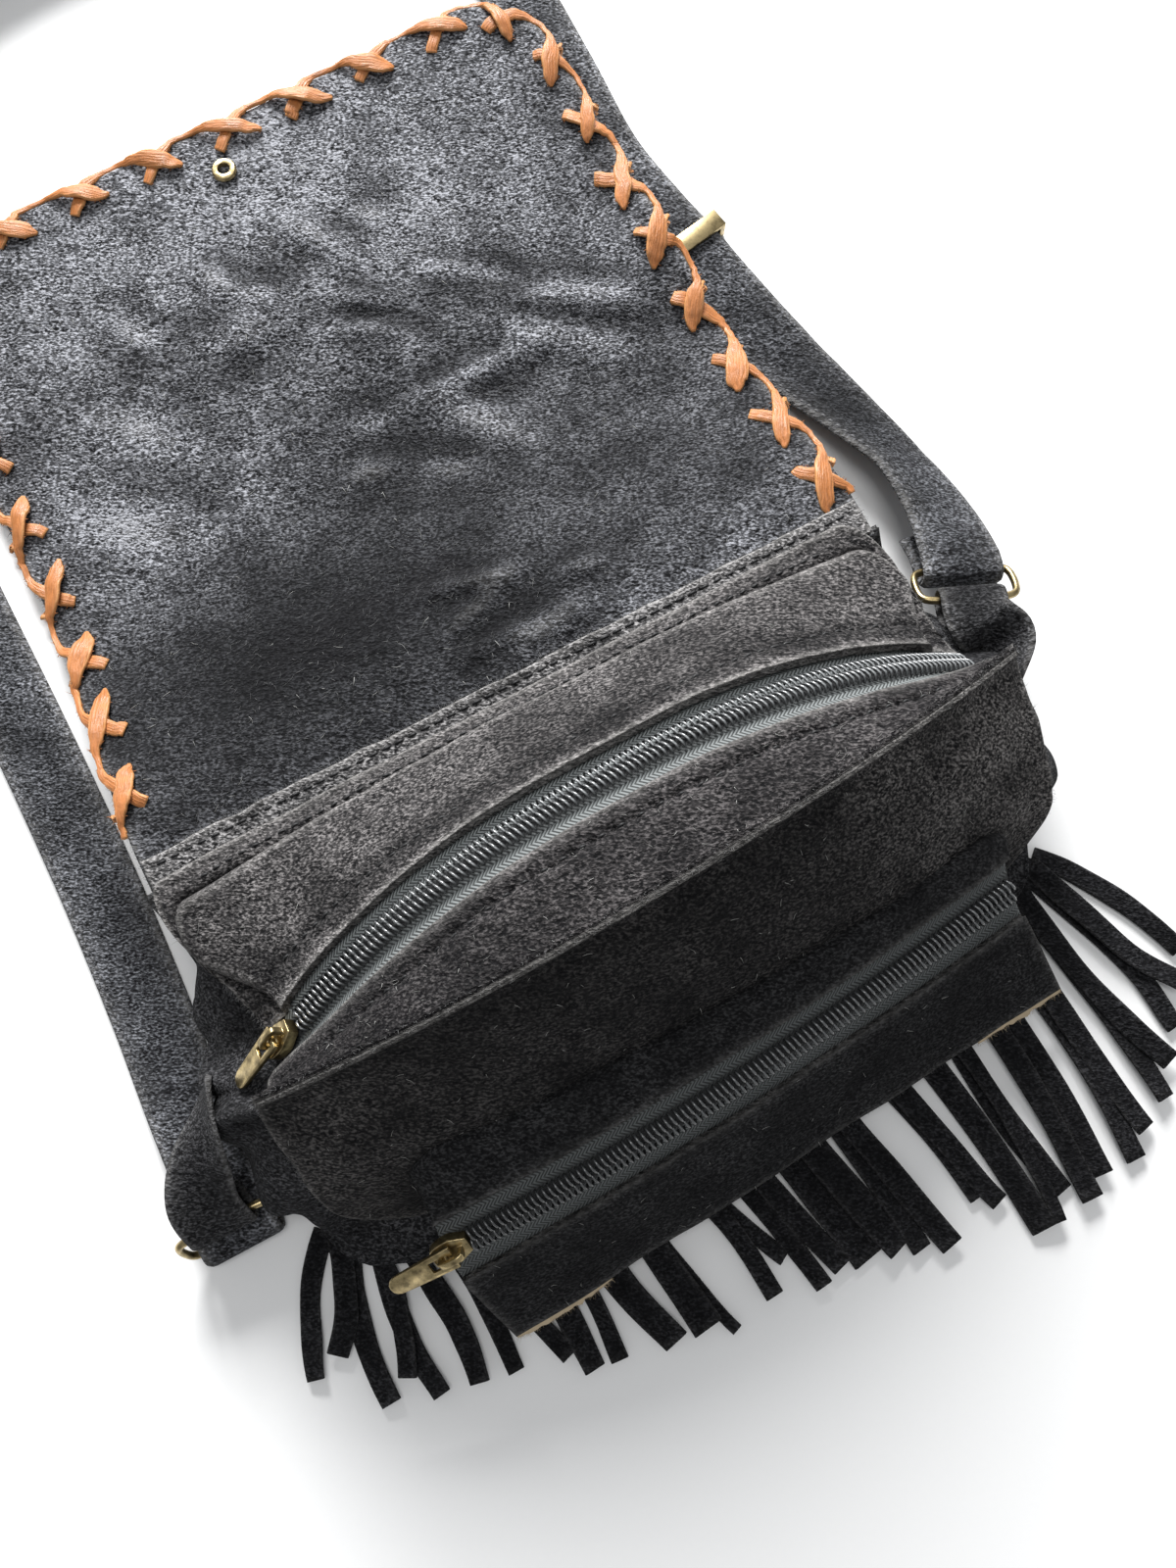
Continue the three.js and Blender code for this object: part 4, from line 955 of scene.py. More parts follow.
class Value:
    """A shader socket that sums can be written with."""

    def __init__(self, tree, socket=None):
        self.tree = tree
        self.socket = socket

    def node(self, kind, settings, sockets, output=0):
        made = self.tree.nodes.new(kind)
        for name, value in settings.items():
            setattr(made, name, value)
        for name, value in sockets.items():
            if isinstance(value, Value):
                self.tree.links.new(value.socket, made.inputs[name])
            else:
                made.inputs[name].default_value = value
        return Value(self.tree, made.outputs[output])

    def sum(self, operation, first, second):
        return self.node("ShaderNodeMath", {"operation": operation}, {0: first, 1: second})

    def __add__(self, other):
        return self.sum("ADD", self, other)

    def __radd__(self, other):
        return self.sum("ADD", other, self)

    def __sub__(self, other):
        return self.sum("SUBTRACT", self, other)

    def __rsub__(self, other):
        return self.sum("SUBTRACT", other, self)

    def __mul__(self, other):
        return self.sum("MULTIPLY", self, other)

    def __rmul__(self, other):
        return self.sum("MULTIPLY", other, self)

    def __pow__(self, other):
        return self.sum("POWER", self, other)

    def __rpow__(self, other):
        return self.sum("POWER", other, self)


def start_material(name):
    """A new material, its maths and its main shader node."""
    made = bpy.data.materials.new(name)
    made.use_nodes = True
    tree = made.node_tree
    shader = next(n for n in tree.nodes if n.type == "BSDF_PRINCIPLED")
    return made, Value(tree), shader


def plug(value, shader, name):
    value.tree.links.new(value.socket, shader.inputs[name])


def mixed(maths, factor, first, second):
    """A colour between two others. A Mix node has its colours at inputs 6 and 7 and at output 2."""
    return maths.node("ShaderNodeMix", {"data_type": "RGBA"}, {0: factor, 6: first, 7: second}, 2)


def ranged(maths, value, low, high):
    """A value carried from between low and high to between 0 and 1."""
    sockets = {"Value": value, "From Min": low, "From Max": high}
    return maths.node("ShaderNodeMapRange", {"clamp": True}, sockets)


def shaded(paint, share):
    """A colour made darker or lighter by a share."""
    return tuple(share * c for c in paint[:3]) + (1,)


def raise_bumps(maths, shader, height, strength, distance):
    """Fine bumps on a shader's surface."""
    sockets = {"Strength": strength, "Distance": distance, "Height": height}
    plug(maths.node("ShaderNodeBump", {}, sockets), shader, "Normal")


def set_sockets(shader, values):
    for name, value in values.items():
        shader.inputs[name].default_value = value


# The nap lies along one way: the turn of its noise and how far the noise is drawn out there.
NAP_TURN = (0, 0, math.radians(-28))
NAP_STRETCH = (1.6, 1, 1)

# The suede's noises, and which of their values count as 0 and as 1.
NAP_NOISE = keyed(
    "scale detail stretch roughness low high",
    hair=(1560, 1.6, NAP_STRETCH, 0.55, 0.4, 0.64),
    tuft=(560, 2, NAP_STRETCH, 0.6, 0.36, 0.66),
    cloud=(60, 4, (1, 1, 1), 0.6, 0.36, 0.64),
)

# How the noises make the nap pale, how wear and painted light and shade change that, and how much a rubbed
# edge shows between tufts.
NAP_MIX = {"sharp": 1.7, "hair": 1.05, "tuft": 0.24, "least": 0.55, "cloud": 0.9, "wear_and_painted_light": 1.3, "rub": 0.35}
SUEDE_BUMPS = {"hair": 0.5, "strength": 0.8, "distance": 0.0005}
SUEDE_SOCKETS = {"Roughness": 0.95, "Specular IOR Level": 0.1, "Sheen Roughness": 0.5}
SUEDE_SHEEN = 0.06

LACE_STREAK = (0.25, 1.8, 1)
LACE_TONE = {"dark": 0.42, "least": 0.25, "patch": 0.4, "streak": 0.4, "edge": 0.5}
LACE_ROUGH = {"least": 0.34, "patch": 0.3}
LACE_BUMPS = {"grain": 0.5, "strength": 0.5, "distance": 0.0003}
BRASS_TONE = {"dark": 0.35, "rough": 0.5, "polish": 0.35}

# The tape's herringbone: half a rib's width, its slope and waves, and how its ribs and worn patches show.
# Then where, from its front edge, the tape is behind the coil, where its tone is painted lighter.
TAPE_WEAVE = {"half": 1.5, "slope": 1.1, "waves": 2.7, "sharp": 1.5, "rib": 0.95, "worn": 0.15, "dark": 0.1}
TAPE_BEHIND = {"low": 12, "high": 16}
TAPE_BUMPS = {"strength": 0.8, "distance": 0.0003}
# The coil's painted highlight: how sharply it keeps to the tops of the turns, its least and patchy strength,
# then the roughness.
COIL_HIGHLIGHT_AND_GLOSS = {"sharp": 1.5, "least": 0.5, "scuff": 0.5, "smooth": 0.16, "rough": 0.22}


def cloud(maths, place, scale, detail, stretch=(1, 1, 1), roughness=0.6):
    """Cloudy noise from 0 to 1 at a place, drawn out along the nap by stretch."""
    sockets = {"Vector": place, "Rotation": NAP_TURN, "Scale": stretch}
    moved = maths.node("ShaderNodeMapping", {"vector_type": "TEXTURE"}, sockets)
    sockets = {"Vector": moved, "Scale": scale, "Detail": detail, "Roughness": roughness}
    return maths.node("ShaderNodeTexNoise", {}, sockets)


def place_of(maths):
    return maths.node("ShaderNodeTexCoord", {}, {}, "Object")


def edge_of(maths):
    return maths.node("ShaderNodeAttribute", {"attribute_name": "edge"}, {}, "Fac")


def tone_patch(maths, place, patch):
    """How strongly a place belongs to a patch painted darker or lighter, from 0 to 1."""
    scale = (1 / (patch["wide"] * MM), 1 / (patch["deep"] * MM), 0)
    moved = (-patch["x"] * MM * scale[0], -patch["y"] * MM * scale[1], 0)
    local = maths.node("ShaderNodeMapping", {}, {"Vector": place, "Location": moved, "Scale": scale})
    away = maths.node("ShaderNodeVectorMath", {"operation": "LENGTH"}, {0: local}, "Value")
    settings = {"interpolation_type": "SMOOTHSTEP"}
    return maths.node("ShaderNodeMapRange", settings, {"Value": away, "From Min": 1.0, "From Max": 0.0})


def nap_noise(maths, place, name):
    """One of the suede's noises, from 0 to 1."""
    row = NAP_NOISE[name]
    value = cloud(maths, place, row["scale"], row["detail"], row["stretch"], row["roughness"])
    return ranged(maths, value, row["low"], row["high"])


def suede_material(name, tone, tint, edge, brushed):
    """Napped suede: dark hollows of the nap, grey tips, patches painted darker or lighter and rubbed edges,
    with painted highlight and painted shade from the edge attribute.
    """
    made, maths, shader = start_material(name)
    place = place_of(maths)
    hair = nap_noise(maths, place, "hair")
    tuft = nap_noise(maths, place, "tuft")
    cloudy = nap_noise(maths, place, "cloud")
    worn = edge_of(maths)
    nap = hair ** NAP_MIX["sharp"] * NAP_MIX["hair"] + tuft * NAP_MIX["tuft"]
    nap = nap * (NAP_MIX["least"] + NAP_MIX["cloud"] * cloudy) * tone
    # The edge attribute makes the nap paler on cut and rubbed edges and where a highlight is painted, and
    # darker where shade is painted.
    nap = nap * (1 + NAP_MIX["wear_and_painted_light"] * maths.sum("MINIMUM", worn, WEAR_AND_PAINTED_LIGHT["palest"]))
    # Patches painted darker or lighter; the flap's are painted light and painted shade.
    for patch in brushed:
        nap = nap * (1 + tone_patch(maths, place, patch) * patch["gain"])
    pale = tuple(c * t for c, t in zip(colour("suede_light"), tint)) + (1,)
    base = mixed(maths, nap, colour("suede_dark"), pale)
    # Cut edges and rubbed crests, which are partly a painted highlight, take the edge's colour.
    rub = edge * worn * (NAP_MIX["rub"] + (1 - NAP_MIX["rub"]) * tuft)
    plug(mixed(maths, rub, base, colour("suede_edge")), shader, "Base Color")
    height = hair * SUEDE_BUMPS["hair"] + tuft
    raise_bumps(maths, shader, height, SUEDE_BUMPS["strength"], SUEDE_BUMPS["distance"])
    set_sockets(shader, SUEDE_SOCKETS)
    set_sockets(shader, {"Sheen Weight": SUEDE_SHEEN * tone})
    return made


def lace_material():
    """Waxed tan leather, streaked along its length, with pale cut edges."""
    made, maths, shader = start_material("tan_lace")
    place = place_of(maths)
    flat = maths.node("ShaderNodeUVMap", {"uv_map": "flat"}, {})
    drawn = maths.node("ShaderNodeMapping", {}, {"Vector": flat, "Scale": LACE_STREAK})
    streak = maths.node("ShaderNodeTexNoise", {}, {"Vector": drawn, "Scale": 1.0, "Detail": 3.0})
    streak = ranged(maths, streak, low=0.36, high=0.66)
    patch = ranged(maths, cloud(maths, place, scale=210, detail=3), low=0.32, high=0.7)
    grain = cloud(maths, place, scale=1800, detail=3)
    tone = LACE_TONE["least"] + LACE_TONE["patch"] * patch + LACE_TONE["streak"] * streak
    base = mixed(maths, tone, shaded(colour("lace"), LACE_TONE["dark"]), colour("lace"))
    base = mixed(maths, edge_of(maths) * LACE_TONE["edge"], base, colour("lace_edge"))
    plug(base, shader, "Base Color")
    plug(LACE_ROUGH["least"] + patch * LACE_ROUGH["patch"], shader, "Roughness")
    height = grain * LACE_BUMPS["grain"] + streak
    raise_bumps(maths, shader, height, LACE_BUMPS["strength"], LACE_BUMPS["distance"])
    return made


def brass_material():
    """Aged brass, dull in patches."""
    made, maths, shader = start_material("aged_brass")
    patch = cloud(maths, place_of(maths), scale=420, detail=4)
    tone = ranged(maths, patch, low=0.35, high=0.62)
    dark = shaded(colour("brass"), BRASS_TONE["dark"])
    plug(mixed(maths, tone, dark, colour("brass")), shader, "Base Color")
    plug(BRASS_TONE["rough"] - patch * BRASS_TONE["polish"], shader, "Roughness")
    set_sockets(shader, {"Metallic": 1.0})
    return made


def tape_material(name, tone, behind):
    """Herringbone woven tape, from its flat coordinates in millimetres, painted lighter behind the coil and
    with painted shade under it.
    """
    made, maths, shader = start_material(name)
    flat = maths.node("ShaderNodeUVMap", {"uv_map": "flat"}, {})
    along = maths.node("ShaderNodeSeparateXYZ", {}, {"Vector": flat}, "X")
    aside = maths.node("ShaderNodeSeparateXYZ", {}, {"Vector": flat}, "Y")
    zigzag = maths.sum("PINGPONG", aside, TAPE_WEAVE["half"])
    slant = (along + zigzag * TAPE_WEAVE["slope"]) * TAPE_WEAVE["waves"]
    wave = maths.node("ShaderNodeMath", {"operation": "SINE"}, {0: slant})
    rib = maths.node("ShaderNodeMath", {"operation": "ABSOLUTE"}, {0: wave})
    worn = cloud(maths, place_of(maths), scale=900, detail=3)
    near = shaded(colour("tape"), tone)
    far = shaded(colour("tape"), behind)
    # Tone painted lighter behind the coil.
    pale = mixed(maths, ranged(maths, aside, **TAPE_BEHIND), near, far)
    weave = rib ** TAPE_WEAVE["sharp"] * TAPE_WEAVE["rib"] + worn * TAPE_WEAVE["worn"]
    base = mixed(maths, weave, shaded(near, TAPE_WEAVE["dark"]), pale)
    # Painted shade under the coil, in the coil's colour.
    plug(mixed(maths, edge_of(maths), base, colour("coil")), shader, "Base Color")
    raise_bumps(maths, shader, rib, **TAPE_BUMPS)
    set_sockets(shader, {"Roughness": 0.75})
    return made


def coil_material():
    """Glossy nylon with a highlight painted on top of its turns, uneven in patches."""
    made, maths, shader = start_material("zip_coil")
    scuff = cloud(maths, place_of(maths), scale=700, detail=3)
    # The highlight painted on the tops of the turns.
    worn = edge_of(maths) ** COIL_HIGHLIGHT_AND_GLOSS["sharp"] * (COIL_HIGHLIGHT_AND_GLOSS["least"] + COIL_HIGHLIGHT_AND_GLOSS["scuff"] * scuff)
    plug(mixed(maths, worn, colour("coil"), colour("coil_painted_highlight")), shader, "Base Color")
    plug(COIL_HIGHLIGHT_AND_GLOSS["smooth"] + scuff * COIL_HIGHLIGHT_AND_GLOSS["rough"], shader, "Roughness")
    set_sockets(shader, {"Specular IOR Level": 0.9, "Coat Weight": 0.7, "Coat Roughness": 0.14})
    return made


def plain_material(name, paint, roughness, shine, uneven):
    """One colour with a little cloudiness."""
    made, maths, shader = start_material(name)
    patch = cloud(maths, place_of(maths), scale=600, detail=3)
    plug(mixed(maths, patch, shaded(paint, 1 - uneven), paint), shader, "Base Color")
    set_sockets(shader, {"Roughness": roughness, "Specular IOR Level": shine})
    return made


MATERIALS = {}
GRIDS = {}

# Suedes: the nap's tone and tint, how strongly cut or rubbed edges show, and patches painted darker or
# lighter.
# All are one black suede; the tones are partly painted light and shade, paler on the hinge, which faces the
# light, and darker on the front and the pocket, which are turned from it.
SUEDES = keyed(
    "tone tint edge brushed",
    flap=(0.45, (0.98, 1, 1.05), 0.4, FLAP_LIGHT_AND_SHADE_PATCHES),
    hinge=(0.72, (1.03, 1, 0.97), 0.5, []),
    band_back=(0.34, (1.06, 1, 0.96), 0.6, []),
    band_front=(0.16, (1.08, 1, 0.97), 0.55, BAND_TONE_PATCHES),
    front=(0.1, (1.06, 1, 0.94), 0.3, FRONT_TONE_PATCHES),
    pocket=(0.08, (1, 1, 1), 0.25, []),
    gusset=(0.15, (1, 1, 1.02), 0.2, []),
    strap=(0.38, (0.97, 1, 1.06), 0.3, STRAP_TONE_PATCHES),
    fringe=(0.05, (1, 1, 1.05), 0.06, []),
)

# Zip tapes: their tone before and behind the coil, painted light and shade: the pocket's tape is painted
# darker for the shade it lies in, and the main tape painted lighter behind the coil, where the lip shades it.
TAPES = keyed(
    "name tone behind",
    tape=("zip_tape", 0.9, 1.9),
    pocket_tape=("pocket_zip_tape", 0.5, 0.5),
)

# Plain finishes in the colour of the same key: roughness, shine and unevenness.
PLAINS = keyed(
    "name roughness shine uneven",
    thread=("black_thread", 0.6, 0.5, 0.3),
    strap_thread=("grey_thread", 0.6, 0.5, 0.3),
    raw=("raw_edge", 0.95, 0.1, 0.3),
    hair=("loose_hair", 0.9, 0.1, 0.3),
    lint=("lint", 0.9, 0.1, 0.3),
    floor=("pale_floor", 0.85, 0.2, 0.02),
)


class BAG_OT_materials(bpy.types.Operator):
    """Makes the bag's materials"""

    bl_idname = "bag.materials"
    bl_label = "Materials"

    def execute(self, context):
        for key, row in SUEDES.items():
            MATERIALS[key] = suede_material("suede_" + key, **row)
        MATERIALS["lace"] = lace_material()
        MATERIALS["brass"] = brass_material()
        for key, row in TAPES.items():
            MATERIALS[key] = tape_material(**row)
        MATERIALS["coil"] = coil_material()
        for key, row in PLAINS.items():
            MATERIALS[key] = plain_material(paint=colour(key), **row)
        return {"FINISHED"}


def sheet_piece(name, material, node, points, thickness, **how):
    """A sheet of suede as a piece of its own, in place of one of the frame's nodes."""
    parts = Parts()
    sheet(parts, points, thickness, **how)
    return finish_piece(parts.build(name, MATERIALS[material]), "suede", node)


# Flap and hinge


def dent_height(dent, x, y):
    turn = math.radians(dent["turn"])
    dx, dy = x - dent["x"], y - dent["y"]
    along = (dx * math.cos(turn) + dy * math.sin(turn)) / dent["long"]
    aside = (dy * math.cos(turn) - dx * math.sin(turn)) / dent["wide"]
    return dent["high"] * np.exp(-along * along - aside * aside)


def flap_z(x, y):
    """Height of the flap's middle."""
    start = FLAP["root_y"] + FLAP["flat"]
    fall = 1 - smoothstep(start, FLAP["fall_y"], y)
    z = FLAP["low_z"] + (FLAP["root_z"] - FLAP["low_z"]) * fall
    for dent in FLAP_DENTS + FLAP_CREASES:
        z = z + dent_height(dent, x, y)
    for lift in FLAP_LIFTS:
        across = ((x - lift["x"]) / lift["wide_x"]) ** 2
        along = ((y - lift["y"]) / lift["wide_y"]) ** 4
        z = z + lift["high"] * np.exp(-across - along) * (1 - fall)
    return z


def flap_wear_and_painted_light(x, y):
    """Crests rubbed pale, partly as a painted highlight, above 0, and painted shade in the hollows round them
    below 0.
    """
    wear_and_painted_light = 0 * x
    for row in FLAP_DENTS + FLAP_CREASES + FLAP_RUBBED_AND_SHADED:
        around = dict(row)
        around["wide"] = row["wide"] * WEAR_AND_PAINTED_LIGHT["hollow_wide"]
        around["long"] = row["long"] * WEAR_AND_PAINTED_LIGHT["hollow_long"]
        crest = dent_height(row, x, y) - WEAR_AND_PAINTED_LIGHT["hollow"] * dent_height(around, x, y)
        wear_and_painted_light = wear_and_painted_light + crest / row["high"]
    return np.clip(WEAR_AND_PAINTED_LIGHT["gain"] * wear_and_painted_light, -WEAR_AND_PAINTED_LIGHT["darkest"], WEAR_AND_PAINTED_LIGHT["palest"])


def flap_half(y):
    """Half the flap's width at y, with its rounded corners."""
    into = np.maximum(0, y - (FLAP["end_y"] - FLAP["corner"]))
    return FLAP["half"] - FLAP["corner"] + np.sqrt(np.maximum(0, FLAP["corner"] ** 2 - into**2))


def flap_ripples(x, y):
    """Small creases over the flap."""
    return sum(row["high"] * noise(x / row["x"], y / row["y"], row["seed"]) for row in FLAP_RIPPLES)


def build_flap():
    u, v = grid(*CELLS["flap"])
    y = lerp(FLAP["root_y"], FLAP["end_y"], 1 - (1 - v) ** FLAP["bunch"])
    x = flap_half(y) * (2 * u - 1)
    calm = smoothstep(0, FLAP["calm"], FLAP["half"] - np.abs(x))
    GRIDS["flap"] = np.stack([x, y, flap_z(x, y) + flap_ripples(x, y) * calm], -1)
    # The flap's wear carries painted shade in its hollows and a painted highlight on its crests.
    how = {"raw": (1, 1, 0, 1), "wear_and_painted_light": flap_wear_and_painted_light(x, y)}
    flap = sheet_piece("flap_suede", "flap", "flap", GRIDS["flap"], mm("suede"), **how)


def build_hinge():
    u, v = grid(*CELLS["hinge"])
    x = lerp(-HINGE_STRIP["half"], HINGE_STRIP["half"], u)
    ragged = HINGE_RAGGED["high"] * noise(x / HINGE_RAGGED["long"], v, HINGE_RAGGED["seed"])
    y = lerp(HINGE_STRIP["from_y"], HINGE_STRIP["to_y"], v) + ragged * (v > HINGE_RAGGED["from"])
    aside = y - (HINGE_STRIP["to_y"] - HINGE_STITCH["from_edge"])
    z = flap_z(x, y) + HINGE_STRIP["step"] + seat_stitches(x, aside, mm("seam_pitch"), HINGE_STITCH)
    z = z + HINGE_WAVE["high"] * noise(x / HINGE_WAVE["x"], y / HINGE_WAVE["y"], HINGE_WAVE["seed"])
    GRIDS["hinge"] = np.stack([x, y, z], -1)
    sheet_piece("hinge_suede", "hinge", "hinge_strip", GRIDS["hinge"], mm("suede"))


def build_hinge_stitches():
    reach = HINGE_STRIP["half"] - HINGE_STITCH["from_end"]
    x = np.linspace(-reach, reach, LINE_POINTS["hinge"])
    y = np.full_like(x, HINGE_STRIP["to_y"] - HINGE_STITCH["from_edge"])
    top = flap_z(x, y) + HINGE_STRIP["step"] + mm("suede") / 2
    parts = Parts()
    stitch_row(parts, np.stack([x, y, top], -1), np.tile(UP, (len(x), 1)), mm("seam_pitch"))
    finish_piece(parts.build("hinge_stitches", MATERIALS["thread"]), "suede")


class BAG_OT_flap(bpy.types.Operator):
    """Builds the flap and the strip over its hinge"""

    bl_idname = "bag.flap"
    bl_label = "Flap"

    def execute(self, context):
        build_flap()
        build_hinge()
        build_hinge_stitches()
        return {"FINISHED"}


# Lacing


def edge_length():
    """Length of the flap's laced edge."""
    side = FLAP["end_y"] - FLAP["corner"] - LACING["root_y"]
    return 2 * side + math.pi * FLAP["corner"] + 2 * (FLAP["half"] - FLAP["corner"])


def edge_frame(distance):
    """Places on the flap's edge and the ways along it and inward, at distances round from its left root."""
    corner = FLAP["corner"]
    corner_x = FLAP["half"] - corner
    corner_y = FLAP["end_y"] - corner
    side = corner_y - LACING["root_y"]
    turn = math.pi * corner / 2
    d = np.asarray(distance, float)
    arc_one = np.clip((d - side) / corner, 0, math.pi / 2)
    arc_two = np.clip((d - side - turn - 2 * corner_x) / corner, 0, math.pi / 2)
    angle = math.pi / 2 - arc_one - arc_two
    along = np.stack([np.cos(angle), np.sin(angle)], -1)
    inward = np.stack([along[..., 1], -along[..., 0]], -1)
    straight_one = np.clip(d, None, side)
    straight_two = np.clip(d - side - turn, 0, 2 * corner_x)
    straight_three = np.clip(d - side - 2 * turn - 2 * corner_x, 0, None)
    x = -corner_x + straight_two - corner * np.cos(arc_one) + corner * np.sin(arc_two)
    y = LACING["root_y"] + straight_one + corner * np.sin(arc_one)
    y = y - corner * (1 - np.cos(arc_two)) - straight_three
    return np.stack([x, y], -1), along, inward


def beside_edge(distance, inward, high):
    """Points beside the flap's edge: so far in, and so far above the flap's middle."""
    place, _, way_in = edge_frame(distance)
    seat = place + way_in * np.maximum(inward, 0)[..., None]
    place = place + way_in * np.asarray(inward)[..., None]
    return np.concatenate([place, (flap_z(seat[..., 0], seat[..., 1]) + high)[..., None]], -1)


def stitch_places():
    """Distances along the flap's edge of the lace stitches, for its left side, end and right side."""
    side = FLAP["end_y"] - FLAP["corner"] - LACING["root_y"] + LACING["round"]
    total = edge_length()
    end, apart = LACING["end"], LACING["apart"]
    runs = [(end, side), (side + apart, total - side - apart), (total - side, total - end)]
    places = []
    for start, stop in runs:
        count = max(2, round((stop - start) / LACING["pitch"]))
        places.append([start + (i + 0.5) * (stop - start) / count for i in range(count)])
    return places


def uneven(seed, which):
    """A lace's own share of one of its measures, near 1."""
    return 1 + LACING["uneven"] * (2 * lattice(seed, which, LACE_SEEDS["reach"]) - 1)


def lace_strip(parts, rows, stitches, seed):
    """An uneven strip of lace through rows of a table, each row placed from its own stitch."""
    number = np.arange(len(rows))
    sway = LACING["sway"] * (2 * lattice(seed + 0 * number, number, LACE_SEEDS["sway"]) - 1)
    along = np.array([row["along"] for row in rows]) * uneven(seed, 0)
    distance = np.array([stitches[row.get("stitch", 0)] for row in rows]) + along + sway
    inward = np.array([row["inward"] for row in rows]) * uneven(seed, 1)
    high = np.array([row["high"] for row in rows])
    t = np.linspace(0, 1, LINE_POINTS["lace_row"] * len(rows))
    points = along_curve(beside_edge(distance, inward, high), t)
    wobble = [wave_along(LACE_WAVES["wobble"], t, seed + k) for k in (0, LACE_SEEDS["aside"])]
    points[:, :2] += np.stack(wobble, -1)
    width = along_table([row["width"] for row in rows], t) * uneven(seed, 2)
    width = width * (1 + wave_along(LACE_WAVES["width"], t, seed))
    heading = unit(np.gradient(points, axis=0))
    across = unit(np.cross(UP, heading)) + UP * wave_along(LACE_WAVES["roll"], t, seed)[:, None]
    strip(parts, points, across, width, mm("lace"), LACING["crown"])
    fray(parts, points, unit(across), width, seed)


def fray(parts, points, across, width, seed):
    """Short fibres out of a lace's cut edges."""
    draw = np.random.default_rng(FRAY["seed"] + seed)
    count = 2 * len(points) // 3
    i = draw.integers(1, len(points) - 1, count)
    side = np.where(draw.uniform(size=count) < 0.5, -0.5, 0.5)[:, None]
    roots = points[i] + across[i] * side * width[i][:, None] * FRAY["in"]
    ways = 2 * across[i] * side + draw.normal(0, FRAY["spread"], (count, 3))
    long = draw.uniform(FRAY["least"], FRAY["most"], count)
    fibres(parts, roots, ways, long, FRAY["radius"], draw.normal(0, FRAY["curl"], count))


class BAG_OT_lacing(bpy.types.Operator):
    """Builds the leather lace over the flap's edges"""

    bl_idname = "bag.lacing"
    bl_label = "Lacing"

    def execute(self, context):
        left, end, right = stitch_places()
        places = left + end + right
        right_from = len(left) + len(end)
        runs = {"left": (0, len(left)), "end": (len(left), right_from), "right": (right_from, len(places))}
        for name, (start, stop) in runs.items():
            parts = Parts()
            for i in range(start, stop):
                before = places[i - 1] if i > 0 else places[0] - LACING["pitch"]
                rows = LACE_RUN if i > 0 else LACE_ARRIVING
                lace_strip(parts, rows, (before, places[i]), i)
                lace_strip(parts, LACE_UNDER, (places[i],), i + LACE_SEEDS["under"])
            if name == "right":
                lace_strip(parts, LACE_LEAVING, (places[-1],), len(places))
            finish_piece(parts.build("lace_" + name, MATERIALS["lace"]), "lace", "lacing_" + name)
        return {"FINISHED"}


# Top band, front panel and pocket


def corner_drop(u, share):
    """How far rounded corners draw in near both ends of u, from 0 to 1."""
    near = np.clip(1 - np.minimum(u, 1 - u) / share, 0, 1)
    return 1 - np.sqrt(1 - near**2)


def band_back_points():
    u, v = grid(*CELLS["band_back"])
    across = lerp(BAND["from"], BAND["to"], u)
    low = 0.5 + share_beside(top_surface, across, zip_gap(ZIP["gap_back"], across), 1)
    high = 1 - BAND_CORNER["drop"] * corner_drop(u, BAND_CORNER["share"])
    return top_surface(across, lerp(low, high, v))


def standing_welt(across, rise):
    """The turned-up edge of the top band, from its fold to its cut edge."""
    edge = top_surface(across, BAND["edge"])
    return edge + np.stack([0 * across, BAND["lean"] + 0 * across, WELT_HIGH * rise], -1)


def band_front_points():
    u, v = grid(*CELLS["band_front"])
    across = lerp(BAND["from"], BAND["to"], u)
    turn = BAND["turn"]
    standing = standing_welt(across, np.clip(1 - v / turn, 0, 1))
    high = 0.5 - share_beside(top_surface, across, zip_gap(ZIP["gap_front"], across), -1)
    lying = top_surface(across, lerp(BAND["edge"], high, np.clip((v - turn) / (1 - turn), 0, 1)))
    return np.where((v < turn)[..., None], standing, lying)


def front_points():
    u, v = grid(*CELLS["front"])
    across = lerp(BAND["from"], BAND["to"], u)
    turn = FRONT["turn"]
    foot = FRONT_CORNER["drop"] * corner_drop(u, FRONT_CORNER["share"])
    lying = front_surface(across, lerp(foot, FRONT["edge"], np.clip(v / turn, 0, 1)))
    rise = np.clip((v - turn) / (1 - turn), 0, 1)
    beside = standing_welt(across, rise) - np.array([0, mm("suede") - WELT_PRESS, 0])
    return lerp(lying, beside, smoothstep(0, FRONT["meet"], rise)[..., None])


def panel_depth(run_u, run_v, radius):
    """Distance inside a panel from its two ends and its far edge, with rounded far corners."""
    from_end = np.minimum(run_u, run_u[-1:] - run_u)
    from_far = run_v[:, -1:] - run_v
    corner = radius - np.hypot(np.maximum(radius - from_end, 0), np.maximum(radius - from_far, 0))
    near_corner = (from_end < radius) & (from_far < radius)
    return np.where(near_corner, corner, np.minimum(from_end, from_far))


def crumple(points, name, calm=1.0):
    """Moves a grid of points in and out along its normals by a piece's soft noise, less where it is calm."""
    row = CRUMPLE[name]
    x = lengths(points, 0) / row["long"]
    y = lengths(points, 1) / row["long"]
    part = CRUMPLE_FINE["part"]
    wave = noise(x, y, row["seed"]) + CRUMPLE_FINE["high"] * noise(part * x, part * y, row["seed"] + 1)
    return points + grid_normals(points) * (row["high"] * calm * wave)[..., None]


def sew_band(stitches, row, up, pitch, share):
    """Stitches on a band's face, with bare ends."""
    ends = slice(BAND_STITCH["bare"], -BAND_STITCH["bare"])
    row = row + up * (mm("suede") / 2 + STITCH["proud"])
    stitch_row(stitches, row[ends], up[ends], pitch, share)


